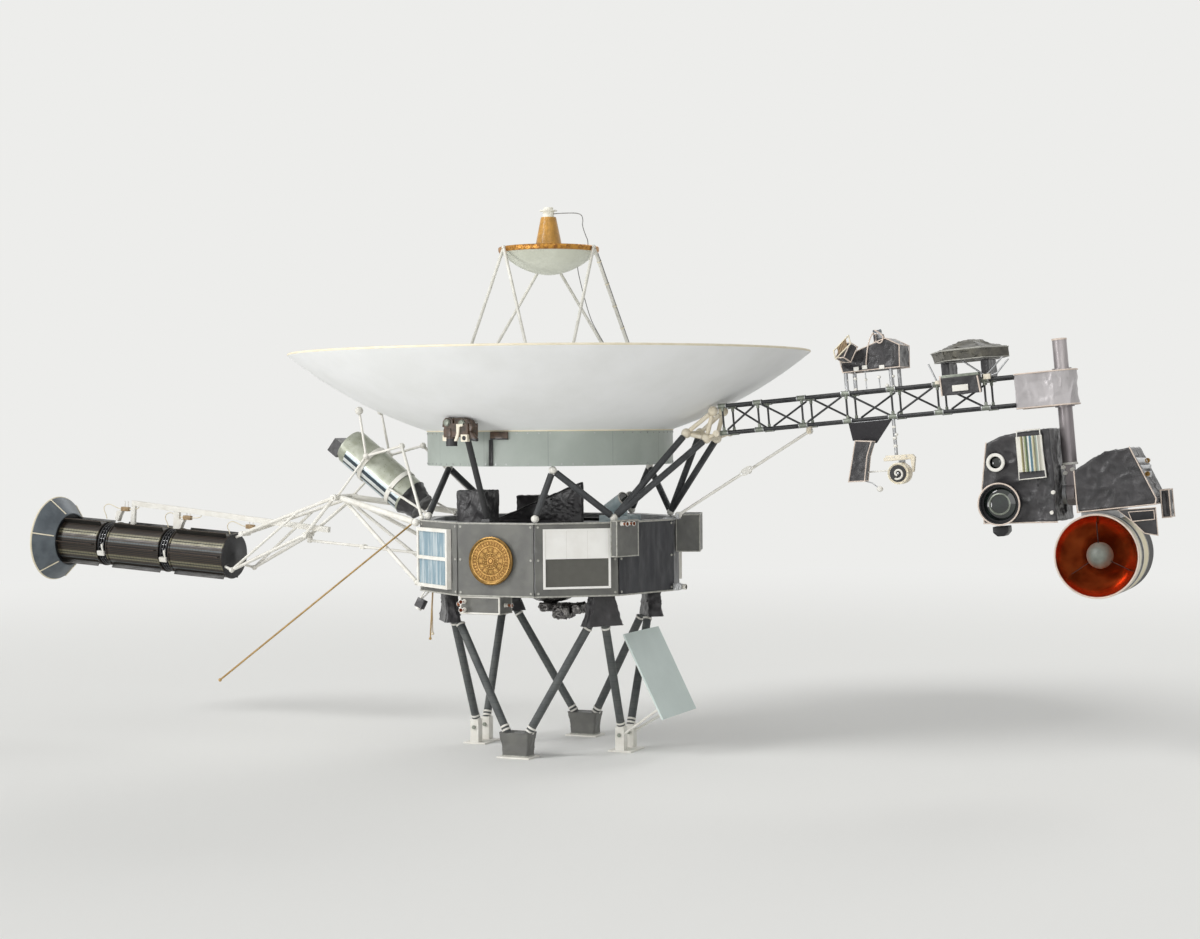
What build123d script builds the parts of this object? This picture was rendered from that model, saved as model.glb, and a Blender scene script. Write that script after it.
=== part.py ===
from build123d import *
import math
import os

# Space probe on the feet of its launch adapter. Millimetres and degrees.
# X runs out to the science boom, -Y faces the record disc, Z is up from the floor.

os.makedirs("parts", exist_ok=True)

# Clearances
seat = 0.3  # between pieces that rest on each other
running_gap = 6.0  # between pieces that move past each other

# Bus, a ring of ten electronics bays
bus_across_flats = 1775.0
bus_bottom = 1122.0
bus_height = 494.0
bay_depth = 190.0
cap_height = 28.0  # the upper and lower ring bars
cap_width = 60.0
post_width = 26.0
blanket_thickness = 24.0
deck_thickness = 12.0
tank_diameter = 710.0

# Dish and its support ring
dish_diameter = 3660.0
dish_focus = 1227.0
dish_vertex = 2080.0  # height of the outer surface on the axis
dish_shell = 14.0
ring_diameter = bus_across_flats - 45.0
ring_bottom = 1994.0
ring_wall = 20.0
ring_flange = 45.0
feed_height = 330.0

# Feed struts, subreflector and low-gain antenna
feed_foot_radius = 870.0
feed_turn = -65.0  # direction of the first foot
feed_strut_diameter = 22.0
subreflector_diameter = 680.0
subreflector_rim = 3500.0
subreflector_bowl = 175.0
antenna_height = 215.0
antenna_base_diameter = 194.0
antenna_top_diameter = 108.0

# Adapter truss and feet
foot_radius = 563.0
foot_height = 175.0
foot_spread = 85.0  # sideways from the foot's middle to each strut
adapter_node_x = bus_across_flats * 0.3268
adapter_node_y = bus_across_flats * 0.2485
adapter_strut_diameter = 57.0
bracket_height = 215.0
clevis_width = 64.0
foot_plate = 12.0
foot_plate_depth = 172.0
foot_plate_width = 240.0
foot_hole_diameter = 13.0
foot_hole_offset = 72.0  # outward and inward from the foot's middle

# Calibration plate, tilted to face the scan platform
plate_width = 620.0
plate_length = 636.0
plate_thickness = 12.0
plate_x = 822.0
plate_z = 555.0
plate_tilt = 63.6  # from level

# Science boom, in its own axes: s along it, y across, h square to it
hinge_x = 1300.0
hinge_z = 2203.0
boom_rise = 4.77  # degrees
boom_width = 200.0
boom_depth = 182.0
first_station = 300.0
station_pitch = 309.0
stations = 6
chord_diameter = 25.0
lace_diameter = 14.0
housing_start = 2035.0
housing_height = 225.0
housing_bottom = -28.0

# Scan platform
column_s = 2327.0
column_diameter = 92.0
column_top = 398.0
column_bottom = -410.0
elevation_h = -595.0
actuator_diameter = 150.0
actuator_length = 50.0
shaft_diameter = 50.0
bearing_gap = 0.5
flange_diameter = 130.0
flange_thickness = 24.0
camera_front = -260.0
camera_back = 290.0
narrow_diameter = 262.0
wide_diameter = 110.0
telescope_s = 2500.0
telescope_h = -990.0
telescope_diameter = 526.0
telescope_front = -300.0
telescope_back = 230.0
telescope_wall = 9.0

# Generator boom, in its own axes: s outward, y across, h square to it
rtg_hinge_x = -1680.0
rtg_hinge_z = 1752.0
rtg_rise = 4.0
rtg_start = 933.0  # along the boom from the hinge to the first generator
rtg_drop = 518.0  # from the hinge down to the generators' axis
generator_diameter = 397.0
generator_case_diameter = 330.0
generator_length = 484.0
generator_pitch = 574.0
generator_count = 3
fin_thickness = 7.0
shroud_diameter = 640.0
shroud_depth = 125.0
ear_offset = 150.0

# Folding braces
brace_diameter = 26.0
brace_offset = 17.0  # each link's distance from the middle plane
brace_knee = 0.535  # share of the way from the bus to the science boom

# Whip antennas
whip_diameter = 13.0
whip_base = (-1010.0, 180.0, 1575.0)
whip_tip = (-1780.0, 1500.0, 563.0)

half_width = boom_width / 2
pin_radius = 10.0
bus_top = bus_bottom + bus_height
bus_mid = bus_bottom + bus_height / 2
apothem = bus_across_flats / 2
half_side = math.tan(math.radians(18))
corner_radius = apothem / math.cos(math.radians(18))
bays = [-90 + 36 * count for count in range(10)]
middle = (Align.CENTER, Align.CENTER, Align.CENTER)
upright = (Align.CENTER, Align.CENTER, Align.MIN)
hanging = (Align.CENTER, Align.CENTER, Align.MAX)


def polar(angle, radius, height):
    """The point at a direction, a distance from the roll axis and a height."""
    turn = math.radians(angle)
    return Vector(radius * math.cos(turn), radius * math.sin(turn), height)


def bar(start, end, diameter, trim_start=0.0, trim_end=0.0):
    """A round tube between two points, held back from each of them."""
    start = Vector(start)
    span = Vector(end) - start
    way = span.normalized()
    length = span.length - trim_start - trim_end
    frame = Plane(origin=start + way * trim_start, z_dir=way)
    return frame * Cylinder(diameter / 2, length, align=upright)


def ball(centre, diameter):
    """A round node where tubes meet."""
    return Pos(*Vector(centre)) * Sphere(diameter / 2)


def strut(start, end, diameter, node_start, node_end):
    """A tube between two round nodes, seated against both."""
    return bar(start, end, diameter, node_start / 2 + seat, node_end / 2 + seat)


def bay_wedge(angle, inner, outer, bottom, top, gap):
    """One side of the decagon between two distances from the axis."""
    setback = gap / 2 / math.cos(math.radians(18))
    inner_half = inner * half_side - setback
    outer_half = outer * half_side - setback
    outline = Polygon(
        (inner, -inner_half), (outer, -outer_half), (outer, outer_half), (inner, inner_half), align=None
    )
    return Rot(0, 0, angle) * Pos(0, 0, bottom) * extrude(outline, top - bottom)


def bay_face(angle, distance, height):
    """A plane on a bay: x sideways, y up, z outward."""
    turn = math.radians(angle)
    origin = polar(angle, distance, height)
    outward = (math.cos(turn), math.sin(turn), 0)
    sideways = (-math.sin(turn), math.cos(turn), 0)
    return Plane(origin=origin, x_dir=sideways, z_dir=outward)


def paraboloid(radius):
    """Height of the dish's design curve at a distance from the axis."""
    return dish_vertex + radius * radius / (4 * dish_focus)


def circle_through(points):
    """Centre and radius of the circle through three points in a plane."""
    (x1, z1), (x2, z2), (x3, z3) = points
    turn = 2 * (x1 * (z2 - z3) + x2 * (z3 - z1) + x3 * (z1 - z2))
    first, second, third = x1 * x1 + z1 * z1, x2 * x2 + z2 * z2, x3 * x3 + z3 * z3
    centre_x = (first * (z2 - z3) + second * (z3 - z1) + third * (z1 - z2)) / turn
    centre_z = (first * (x3 - x2) + second * (x1 - x3) + third * (x2 - x1)) / turn
    return centre_x, centre_z, math.hypot(x1 - centre_x, z1 - centre_z)


hub_radius = 60.0
dish_radius = dish_diameter / 2
dish_points = [(radius, paraboloid(radius)) for radius in (hub_radius, dish_radius * 0.52, dish_radius)]
arc_x, arc_z, arc_radius = circle_through(dish_points)


def dish_height(radius):
    """Height of the dish's outer surface, the arc fitted to the design curve."""
    return arc_z - math.sqrt(arc_radius**2 - (radius - arc_x) ** 2)


def dish_slope(radius):
    """Angle of the dish's surface from level, in radians."""
    return math.asin((radius - arc_x) / arc_radius)


def plate_of(points, depth):
    """A plate of a given outline, its depth along +Z."""
    return extrude(Polygon(*points, align=None), depth, dir=(0, 0, 1))


def save(node, *pieces):
    """Writes one node from its solids."""
    solids = [solid for piece in pieces for solid in piece.solids()]
    export_step(Compound(solids), f"parts/{node}.step")


# Bus frame: upper and lower ring bars with a post at each corner
cover_inner = apothem - blanket_thickness
bay_outer = cover_inner - seat
cap_outer = bay_outer
frame_pieces = []
cap_inner = cap_outer - cap_width
post_height = bus_height - 2 * cap_height - 2 * seat
post = Box(cap_width - 12, post_width, post_height)
for angle in bays:
    for level in (bus_bottom, bus_top - cap_height):
        frame_pieces.append(bay_wedge(angle, cap_inner, cap_outer, level, level + cap_height, 2 * seat))
    post_centre = polar(angle + 18, cap_outer / math.cos(math.radians(18)) - cap_width / 2 - 4, bus_mid)
    frame_pieces.append(Pos(*post_centre) * Rot(0, 0, angle + 18) * post)
save("bus_frame", *frame_pieces)

# Electronics bays between the posts
bay_bottom = bus_bottom + cap_height + seat
bay_top = bus_top - cap_height - seat
bay_gap = post_width + 2 * seat
save(
    "electronics_bays",
    *[bay_wedge(angle, bay_outer - bay_depth, bay_outer, bay_bottom, bay_top, bay_gap) for angle in bays],
)

# Blankets on the outer faces, over bays and ring bars
save(
    "bay_blankets",
    *[bay_wedge(angle, cover_inner, apothem, bus_bottom + 2, bus_top - 2, 3.0) for angle in bays],
)

# Deck blankets close the ring above and below, with the tank's dome under the lower one
deck_radius = (bay_outer - bay_depth - seat) / math.cos(math.radians(18))


def deck(level):
    """A ten-sided sheet inside the ring of bays."""
    return Pos(0, 0, level) * extrude(RegularPolygon(deck_radius, 10), deck_thickness)


deck_level = bus_top - 60
lower_deck_level = bus_bottom + 48
tank = Pos(0, 0, bus_mid) * Sphere(tank_diameter / 2)
tank_room = Box(tank_diameter, tank_diameter, tank_diameter, align=hanging)
dome = tank & (Pos(0, 0, lower_deck_level - seat) * tank_room)
save("deck_blankets", deck(deck_level), deck(lower_deck_level), dome)

# Louvre assemblies: a frame with two banks of upright blades
louvre_width = 471.0
louvre_height = 408.0
louvre_shift = -32.0
louvre_border = 24.0
louvre_depth = 30.0
louvre_blades = 8
blade_width = 44.0
blade_thickness = 2.0
blade_turn = 18.0
louvre_bays = (-126, 54)
frame_parts, blade_parts = [], []
for angle in louvre_bays:
    face = bay_face(angle, apothem + seat, bus_mid - 5)
    back_plate = 4.0
    back = Box(louvre_width, louvre_height, back_plate, align=upright)
    frame_parts.append(face * Pos(louvre_shift, 0, 0) * back)
    rail_z = back_plate + seat
    stile_x = (louvre_width - louvre_border) / 2
    rail_width = louvre_width - 2 * louvre_border - 2 * seat
    stile = Box(louvre_border, louvre_height, louvre_depth, align=upright)
    cross_rail = Box(rail_width, louvre_border, louvre_depth, align=upright)
    for side in (-1, 1):
        frame_parts.append(face * Pos(louvre_shift + side * stile_x, 0, rail_z) * stile)
    for level in (-1, 0, 1):
        rail_y = level * (louvre_height - louvre_border) / 2
        frame_parts.append(face * Pos(louvre_shift, rail_y, rail_z) * cross_rail)
    blade_height = (louvre_height - 3 * louvre_border) / 2 - 2 * seat
    blade_y = (blade_height + louvre_border) / 2 + seat
    pitch = rail_width / louvre_blades
    for bank in (-1, 1):
        for count in range(louvre_blades):
            blade_x = louvre_shift - rail_width / 2 + pitch * (count + 0.5)
            place = Pos(blade_x, bank * blade_y, rail_z + louvre_depth / 2) * Rot(0, blade_turn, 0)
            blade_parts.append(face * place * Box(blade_width, blade_height, blade_thickness))
save("louvre_frames", *frame_parts)
save("louvre_blades", *blade_parts)

# Radiator on the bay to the right of the disc: a pale plate over a dark one in a frame
radiator_width = 458.0
radiator_height = 400.0
radiator_border = 14.0
radiator_frame_depth = 16.0
pale_plate_depth = 14.0
dark_plate_depth = 8.0
face = bay_face(-54, apothem + seat, bus_mid + 8)
inside_width = radiator_width - 2 * radiator_border - 2 * seat
inside_height = (radiator_height - 2 * radiator_border - 3 * seat) / 2
pieces = []
upright_edge = Box(radiator_border, radiator_height, radiator_frame_depth, align=upright)
level_edge = Box(inside_width, radiator_border, radiator_frame_depth, align=upright)
for side in (-1, 1):
    edge_x = side * (radiator_width - radiator_border) / 2
    pieces.append(face * Pos(edge_x, 0, 0) * upright_edge)
    edge_y = side * (radiator_height - radiator_border) / 2
    pieces.append(face * Pos(0, edge_y, 0) * level_edge)
plate_y = (inside_height + seat) / 2
pale_plate = face * Pos(0, plate_y, 0) * Box(inside_width, inside_height, pale_plate_depth, align=upright)
dark_plate = face * Pos(0, -plate_y, 0) * Box(inside_width, inside_height, dark_plate_depth, align=upright)
save("radiator_panel", *pieces, pale_plate, dark_plate)

# Record disc: a shallow cover with a rolled rim on a boss
disc_diameter = 325.0
disc_shift = -24.0
disc_boss_height = 14.0
disc_rim = 9.0
face = bay_face(-90, apothem + seat, bus_mid - 6) * Pos(disc_shift, 0, 0)
with BuildSketch(Plane.XZ) as disc_profile:
    with BuildLine():
        Polyline(
            (0, disc_boss_height),
            (disc_diameter / 2 - 2 * disc_rim, disc_boss_height),
            (disc_diameter / 2, disc_boss_height - 4),
            (disc_diameter / 2, disc_boss_height + disc_rim),
            (disc_diameter / 2 - disc_rim, disc_boss_height + disc_rim + 3),
            (disc_diameter / 2 - 2 * disc_rim, disc_boss_height + disc_rim - 2),
            (0, disc_boss_height + disc_rim - 2),
            (0, disc_boss_height),
        )
    make_face()
disc = revolve(disc_profile.sketch, Axis.Z)
boss = Cylinder(70, disc_boss_height - seat, align=upright)
save("record_disc", face * disc, face * boss)

# Boxes on two bays, and one under the bus
side_box_depth = 58.0
side_box_face = bay_face(-18, apothem + seat, bus_top - 108)
wall_box_table = [
    # bay face, sideways, width, height, depth
    (side_box_face, -262, 226, 244, side_box_depth),
    (bay_face(18, apothem + seat, bus_top - 106), 60, 330, 262, 170),
]
wall_boxes = [
    box_face * Pos(sideways, 0, 0) * Box(width, height, depth, align=upright)
    for box_face, sideways, width, height, depth in wall_box_table
]
lower_box_width = 300.0
lower_box_reach = 190.0
lower_box_centre = Vector(-125, -780, bus_bottom - seat)
lower_box = Pos(*lower_box_centre) * Box(lower_box_width, lower_box_reach, 122, align=hanging)
save("bus_boxes", *wall_boxes, lower_box)

# Small thrusters: a block with a bell nozzle, listed by place and pointing direction
nozzle_length = 34.0
nozzle_mouth = 30.0
nozzle_throat = 12.0


valve_block = 22.0


def thruster(place, way):
    """A valve block with its bell nozzle pointing along way."""
    frame = Plane(origin=Vector(place), z_dir=Vector(way))
    bell = Cone(nozzle_throat / 2, nozzle_mouth / 2, nozzle_length, align=upright)
    return frame * (Box(valve_block, valve_block, valve_block) + Pos(0, 0, valve_block / 2) * bell)


valve_out = valve_block / 2 + seat
side_out = side_box_depth + valve_out
lower_front = lower_box_centre.Y - lower_box_reach / 2 - valve_out
lower_side = lower_box_width / 2 + valve_out
thruster_table = [
    # place, direction it points
    (side_box_face.from_local_coords((-330, 100, side_out)), polar(-18, 1, 0)),
    (side_box_face.from_local_coords((-262, 100, side_out)), polar(-18, 1, 0)),
    (Vector(-240, lower_front, bus_bottom - 37), Vector(0, -1, 0)),
    (Vector(-240, lower_front, bus_bottom - 92), Vector(0, -1, 0)),
    (Vector(lower_box_centre.X - lower_side, -800, bus_bottom - 62), Vector(-1, 0, 0)),
    (Vector(lower_box_centre.X + lower_side, -800, bus_bottom - 62), Vector(1, 0, 0)),
]
thrusters = [thruster(place, way) for place, way in thruster_table]
corner_mount = Pos(*polar(0, corner_radius + 31, 1150)) * Box(62, 60, 50)
corner_nozzle = bar(polar(0, corner_radius + 62 + seat, 1150), polar(0, corner_radius + 90, 1150), 40)

# Sensor hanging under the left corner
hanger = bar((-680, -540, bus_bottom - 6), (-726, -580, bus_bottom - 48), 14)
sensor_plane = Plane(origin=(-735, -582, bus_bottom - 92), z_dir=(-0.4, -0.2, -0.9))
hanging_sensor = sensor_plane * Box(62, 50, 80)
save("thrusters", *thrusters, corner_mount, corner_nozzle, hanger, hanging_sensor)

# Things on the upper deck
deck_top = deck_level + deck_thickness + seat
deck_box_table = [
    # x, y, width, depth, height
    (-480, -190, 220, 260, 250),
    (-300, 330, 180, 200, 200),
]
deck_boxes = [
    Pos(x, y, deck_top) * Box(width, depth, height, align=upright)
    for x, y, width, depth, height in deck_box_table
]
sheet_outline = [(-420, 0), (330, 0), (330, 300)]
slanted_sheet = Pos(-140, 140, deck_top) * Rot(90, 0, 0) * plate_of(sheet_outline, 16)
tracker_base = Pos(420, 260, deck_top) * Box(220, 240, 60, align=upright)
tracker_parts = [tracker_base]
for tracker_y in (190, 330):
    origin = (420, tracker_y, deck_top + 60 + 78)
    tube_plane = Plane(origin=origin, z_dir=(0.62, -0.30, 0.35))
    tracker_parts.append(tube_plane * Cylinder(48, 190))
    tracker_parts.append(Pos(400, tracker_y, deck_top + 60 + seat) * Box(70, 60, 26, align=upright))
save("star_trackers", *tracker_parts)

# Adapter truss: eight struts from four upper brackets down to four feet
foot_top = foot_height
strut_pairs = [
    # bracket direction signs, foot direction, side of the foot
    ((1, -1), -90, 1),
    ((-1, -1), -90, -1),
    ((-1, -1), 180, 1),
    ((-1, 1), 180, -1),
    ((-1, 1), 90, 1),
    ((1, 1), 90, -1),
    ((1, 1), 0, 1),
    ((1, -1), 0, -1),
]
bracket_bottom = bus_bottom - bracket_height
slab_height = bracket_bottom - foot_top - 2 * seat
slab_width = bus_across_flats * 2
slab = Pos(0, 0, foot_top + seat) * Box(slab_width, slab_width, slab_height, align=upright)
adapter_struts = []
for (sign_x, sign_y), foot_angle, side in strut_pairs:
    node = Vector(sign_x * adapter_node_x, sign_y * adapter_node_y, bus_bottom - 60)
    sideways = polar(foot_angle + 90, side * foot_spread, 0)
    foot = polar(foot_angle, foot_radius, foot_top) + sideways
    reach = (foot - node).normalized() * 60
    adapter_struts.append(bar(node, foot + reach, adapter_strut_diameter) & slab)
save("adapter_struts", *adapter_struts)

# Blanket-covered brackets that take two struts each
bracket_parts = []
for sign_x in (-1, 1):
    for sign_y in (-1, 1):
        turn = math.degrees(math.atan2(sign_y * adapter_node_y, sign_x * adapter_node_x))
        top_face = Plane(origin=(sign_x * adapter_node_x, sign_y * adapter_node_y, bay_bottom - seat))
        low_face = top_face.offset(bracket_bottom - bay_bottom + seat)
        sketch = loft(
            [
                low_face * Rot(0, 0, turn) * RectangleRounded(120, 300, 30),
                top_face * Rot(0, 0, turn) * RectangleRounded(110, 170, 30),
            ]
        )
        bracket_parts.append(sketch)

# Feet: covered boxes front and back, open clevises left and right, each on a bolted plate
foot_boxes, clevises, foot_plates = [], [], []
plate_top = foot_plate + seat
for foot_angle in (0, 90, 180, -90):
    centre = polar(foot_angle, foot_radius, 0)
    base = Box(foot_plate_depth, foot_plate_width, foot_plate, align=upright)
    base = Pos(*centre) * Rot(0, 0, foot_angle) * base
    for offset in (-foot_hole_offset, foot_hole_offset):
        hole_at = polar(foot_angle, foot_radius + offset, 0)
        base -= Pos(*hole_at) * Cylinder(foot_hole_diameter / 2, foot_plate * 3)
    foot_plates.append(base)
    if foot_angle in (90, -90):
        low = Plane(origin=centre + Vector(0, 0, plate_top)) * Rot(0, 0, foot_angle)
        high = Plane(origin=centre + Vector(0, 0, foot_height)) * Rot(0, 0, foot_angle)
        foot_boxes.append(loft([low * RectangleRounded(120, 200, 20), high * RectangleRounded(140, 240, 20)]))
    else:
        for side in (-1, 1):
            sideways = polar(foot_angle + 90, side * foot_spread, 0)
            spot = centre + sideways + Vector(0, 0, plate_top)
            clevis = Box(clevis_width, clevis_width, foot_height - plate_top, align=upright)
            clevises.append(Pos(*spot) * clevis)
save("adapter_covers", *bracket_parts, *foot_boxes)

# Calibration plate with its stiffening rails and bracket rods
tilt = math.radians(plate_tilt)
plate_frame = Plane(origin=(plate_x, 0, plate_z), x_dir=(0, 1, 0), z_dir=(math.sin(tilt), 0, math.cos(tilt)))
plate = plate_frame * Box(plate_width, plate_length, plate_thickness)
rail_offset = plate_width / 2 - 60
rail_width = 26.0
rail_depth = 22.0
rail = Box(rail_width, plate_length - 20, rail_depth, align=hanging)
rails = [plate_frame * Pos(side * rail_offset, 0, -plate_thickness / 2 - seat) * rail for side in (-1, 1)]
save("calibration_plate", plate)
bracket_rods = []
for side in (-1, 1):
    rail_middle = -plate_thickness / 2 - rail_depth / 2
    low_end = plate_frame.from_local_coords((side * rail_offset, -plate_length / 2 + 80, rail_middle))
    foot_end = Vector(foot_radius, side * foot_spread, 110)
    rod = bar(foot_end, low_end, 16)
    clevis_room = clevis_width + 2 * seat
    clevis_space = Pos(foot_radius, side * foot_spread, 0) * Box(clevis_room, clevis_room, 400)
    rail_room = Box(2 * rail_width + seat, plate_length, 2 * (rail_depth + 2 * seat))
    rail_space = plate_frame * Pos(side * rail_offset, 0, -plate_thickness / 2) * rail_room
    bracket_rods.append(rod - clevis_space - rail_space)
save("foot_fittings", *clevises, *foot_plates, *rails, *bracket_rods)

# Dish, from arcs through the paraboloid's points
outer_curve = [Vector(radius, height) for radius, height in dish_points]
inner_curve = [point + Vector(0, dish_shell) for point in outer_curve]
with BuildSketch(Plane.XZ) as dish_profile:
    with BuildLine():
        ThreePointArc(*outer_curve)
        Line(outer_curve[2], inner_curve[2])
        ThreePointArc(*reversed(inner_curve))
        Line(inner_curve[0], outer_curve[0])
    make_face()
dish = revolve(dish_profile.sketch, Axis.Z)
save("dish", dish)

# Support ring under the dish, with its lower flange
ring_radius = ring_diameter / 2
ring_top = dish_height(ring_radius - ring_wall) - seat
with BuildSketch(Plane.XZ) as ring_profile:
    with BuildLine():
        Polyline(
            (ring_radius, ring_bottom),
            (ring_radius, ring_top),
            (ring_radius - ring_wall, ring_top),
            (ring_radius - ring_wall, ring_bottom + 14),
            (ring_radius - ring_flange, ring_bottom + 14),
            (ring_radius - ring_flange, ring_bottom),
            (ring_radius, ring_bottom),
        )
    make_face()
save("dish_ring", revolve(ring_profile.sketch, Axis.Z))

# Feed horn on the dish's middle
with BuildSketch(Plane.XZ) as horn_profile:
    with BuildLine():
        base_z = dish_height(hub_radius) - 20
        Polyline(
            (0, base_z),
            (hub_radius - seat, base_z),
            (hub_radius - seat, base_z + 60),
            (70, base_z + 62),
            (70, base_z + 150),
            (115, base_z + feed_height),
            (105, base_z + feed_height),
            (60, base_z + 165),
            (0, base_z + 165),
            (0, base_z),
        )
    make_face()
save("feed_horn", revolve(horn_profile.sketch, Axis.Z))

# Subreflector and the six struts that hold it
bowl_bottom = subreflector_rim - subreflector_bowl
sub_radius = subreflector_diameter / 2
with BuildSketch(Plane.XZ) as sub_profile:
    with BuildLine():
        bowl_half = (sub_radius * 0.55, bowl_bottom + subreflector_bowl * 0.27)
        bowl_edge = (sub_radius, subreflector_rim - 12)
        ThreePointArc((0, bowl_bottom), bowl_half, bowl_edge)
        Line(bowl_edge, (sub_radius, subreflector_rim))
        Line((sub_radius, subreflector_rim), (0, subreflector_rim))
        Line((0, subreflector_rim), (0, bowl_bottom))
    make_face()
save("subreflector", revolve(sub_profile.sketch, Axis.Z))
rim_plate = Pos(0, 0, subreflector_rim + seat) * Cylinder(sub_radius + 6, 16, align=upright)
feed_node_size = 30.0
feed_node_z = subreflector_rim + 8
feed_pad_height = 12.0
feed_pad_gap = 0.9


def foot_plane(angle):
    """The plane on the dish's inner surface at a feed foot."""
    slope = dish_slope(feed_foot_radius)
    inward = polar(angle, -math.sin(slope), math.cos(slope))
    surface = polar(angle, feed_foot_radius, dish_height(feed_foot_radius) + dish_shell)
    return Plane(origin=surface + inward * feed_pad_gap, z_dir=inward)


def foot_cut(angle):
    """What lies below the top of a feed foot's pad."""
    return foot_plane(angle) * Pos(0, 0, feed_pad_height + seat) * Box(240, 240, 140, align=hanging)


feed_pad = Cylinder(58, feed_pad_height, align=upright)
feed_pads = [foot_plane(feed_turn + 120 * count) * feed_pad for count in range(3)]
node_ears, feed_struts = [rim_plate], []
for count in range(3):
    node_angle = feed_turn - 60 + 120 * count
    node = polar(node_angle, sub_radius + 6 + feed_node_size / 2 + seat, feed_node_z)
    node_ears.append(ball(node, feed_node_size))
    for side in (-60, 60):
        foot_angle = node_angle + side
        spread = 2.4 if side > 0 else -2.4
        foot = polar(foot_angle - spread, feed_foot_radius, dish_height(feed_foot_radius) + dish_shell)
        long_strut = bar(node, foot, feed_strut_diameter, feed_node_size / 2 + seat, -30)
        feed_struts.append(long_strut - foot_cut(foot_angle))
save("feed_struts", *node_ears, *feed_struts, *feed_pads)

# Low-gain antenna: a cone with a cap and disc on top
antenna_base = subreflector_rim + 16 + 2 * seat
with BuildSketch(Plane.XZ) as antenna_profile:
    with BuildLine():
        cone_top = antenna_base + antenna_height
        Polyline(
            (0, antenna_base),
            (antenna_base_diameter / 2, antenna_base),
            (antenna_top_diameter / 2, cone_top),
            (40, cone_top),
            (40, cone_top + 42),
            (0, cone_top + 42),
            (0, antenna_base),
        )
    make_face()
cap_level = antenna_base + antenna_height + 42 + seat
cap = Pos(0, 0, cap_level) * Cylinder(62, 6, align=upright)
crown = Pos(0, 0, cap_level + 6 + seat) * Cylinder(34, 20, align=upright)
save("low_gain_antenna", revolve(antenna_profile.sketch, Axis.Z), cap, crown)

# Struts between the bus and the ring, in three pairs, and to the boom root
truss_diameter = 45.0
truss_node = 54.0
bus_node_z = bus_top + truss_node / 2 + seat
ring_node_z = ring_bottom - truss_node / 2 - seat


def corner_node(angle):
    """The node that stands on the bus at one of its corners."""
    return polar(angle, corner_radius - 62, bus_node_z)


ring_pairs = [
    # direction of the node under the ring, directions of the two bus corners
    (-64, -72, -36),
    (56, 72, 36),
    (176, -144, 144),
]
root_shoulder = Vector(1080, 130, 2205)
root_knee = Vector(1215, 100, 2168)
root_node = 68.0
nodes, truss = {}, []
for ring_angle, first, second in ring_pairs:
    upper = polar(ring_angle, ring_radius - 26, ring_node_z)
    nodes[ring_angle] = upper
    for corner in (first, second):
        lower = corner_node(corner)
        nodes[corner] = lower
        truss.append(strut(lower, upper, truss_diameter, truss_node, truss_node))
for side in (-1, 1):
    lower = corner_node(36 * side)
    for upper in (root_shoulder, root_knee):
        end = Vector(upper.X, side * upper.Y, upper.Z)
        truss.append(strut(lower, end, truss_diameter, truss_node, root_node))
save("dish_truss", *truss)
save("truss_nodes", *[ball(centre, truss_node) for centre in nodes.values()])

# Root frame of the science boom: shoulders and knees joined by bars, with the hinge tube
root_nodes, root_bars = [], []
root_bar = 30.0
for side in (-1, 1):
    shoulder = Vector(root_shoulder.X, side * root_shoulder.Y, root_shoulder.Z)
    knee = Vector(root_knee.X, side * root_knee.Y, root_knee.Z)
    top = Vector(hinge_x - 36, side * root_knee.Y, hinge_z + boom_depth - 32)
    hinge = Vector(hinge_x, side * (half_width + 34), hinge_z)
    for centre in (shoulder, knee, top):
        root_nodes.append(ball(centre, root_node))
    root_bars.append(strut(shoulder, top, root_bar, root_node, root_node))
    root_bars.append(strut(shoulder, knee, root_bar, root_node, root_node))
    root_bars.append(strut(knee, top, root_bar, root_node, root_node))
    ear = Pos(*hinge) * Rot(90, 0, 0) * (Cylinder(22, 20) - Cylinder(pin_radius + bearing_gap, 30))
    root_bars.append(bar(knee, hinge, 22, root_node / 2 + seat, 24.2))
    root_bars.append(ear)
for centre in (root_shoulder, root_knee):
    mirror = Vector(centre.X, -centre.Y, centre.Z)
    root_bars.append(strut(centre, mirror, root_bar, root_node, root_node))
save("boom_root_frame", *root_nodes, *root_bars)

# Fitting under the left of the dish with its strut down to the deck
fitting_height = 90.0
pad_height = 24.0
fitting_centre = polar(-98, 1085, dish_height(1085) - 78)
fitting = Pos(*fitting_centre) * Rot(0, 0, -98) * Box(120, 190, fitting_height)
fitting_bottom = fitting_centre.Z - fitting_height / 2 - seat
head_centre = Vector(fitting_centre.X - 60, fitting_centre.Y - 20, fitting_bottom)
fitting_head = Pos(*head_centre) * Cylinder(38, 60, align=hanging)
deck_pad = Pos(-100, -800, bus_top + seat) * Box(60, 60, pad_height, align=upright)
pad_top = bus_top + pad_height + 2 * seat
fitting_strut_top = Vector(fitting_centre.X + 40, fitting_centre.Y + 10, fitting_bottom)
fitting_strut_low = Vector(-100, -800, pad_top)
strut_slab = Pos(0, 0, pad_top) * Box(dish_diameter, dish_diameter, fitting_bottom - pad_top, align=upright)
fitting_way = (fitting_strut_low - fitting_strut_top).normalized() * 60
fitting_strut = bar(fitting_strut_top - fitting_way, fitting_strut_low + fitting_way, 42) & strut_slab
save("dish_fitting", fitting, fitting_head, deck_pad, fitting_strut)

# Science boom truss
boom = Plane(
    origin=(hinge_x, 0, hinge_z),
    x_dir=(math.cos(math.radians(boom_rise)), 0, math.sin(math.radians(boom_rise))),
    z_dir=(-math.sin(math.radians(boom_rise)), 0, math.cos(math.radians(boom_rise))),
)


def on_boom(s, y, h):
    """A point given in the boom's own axes."""
    return boom.from_local_coords((s, y, h))


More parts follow.
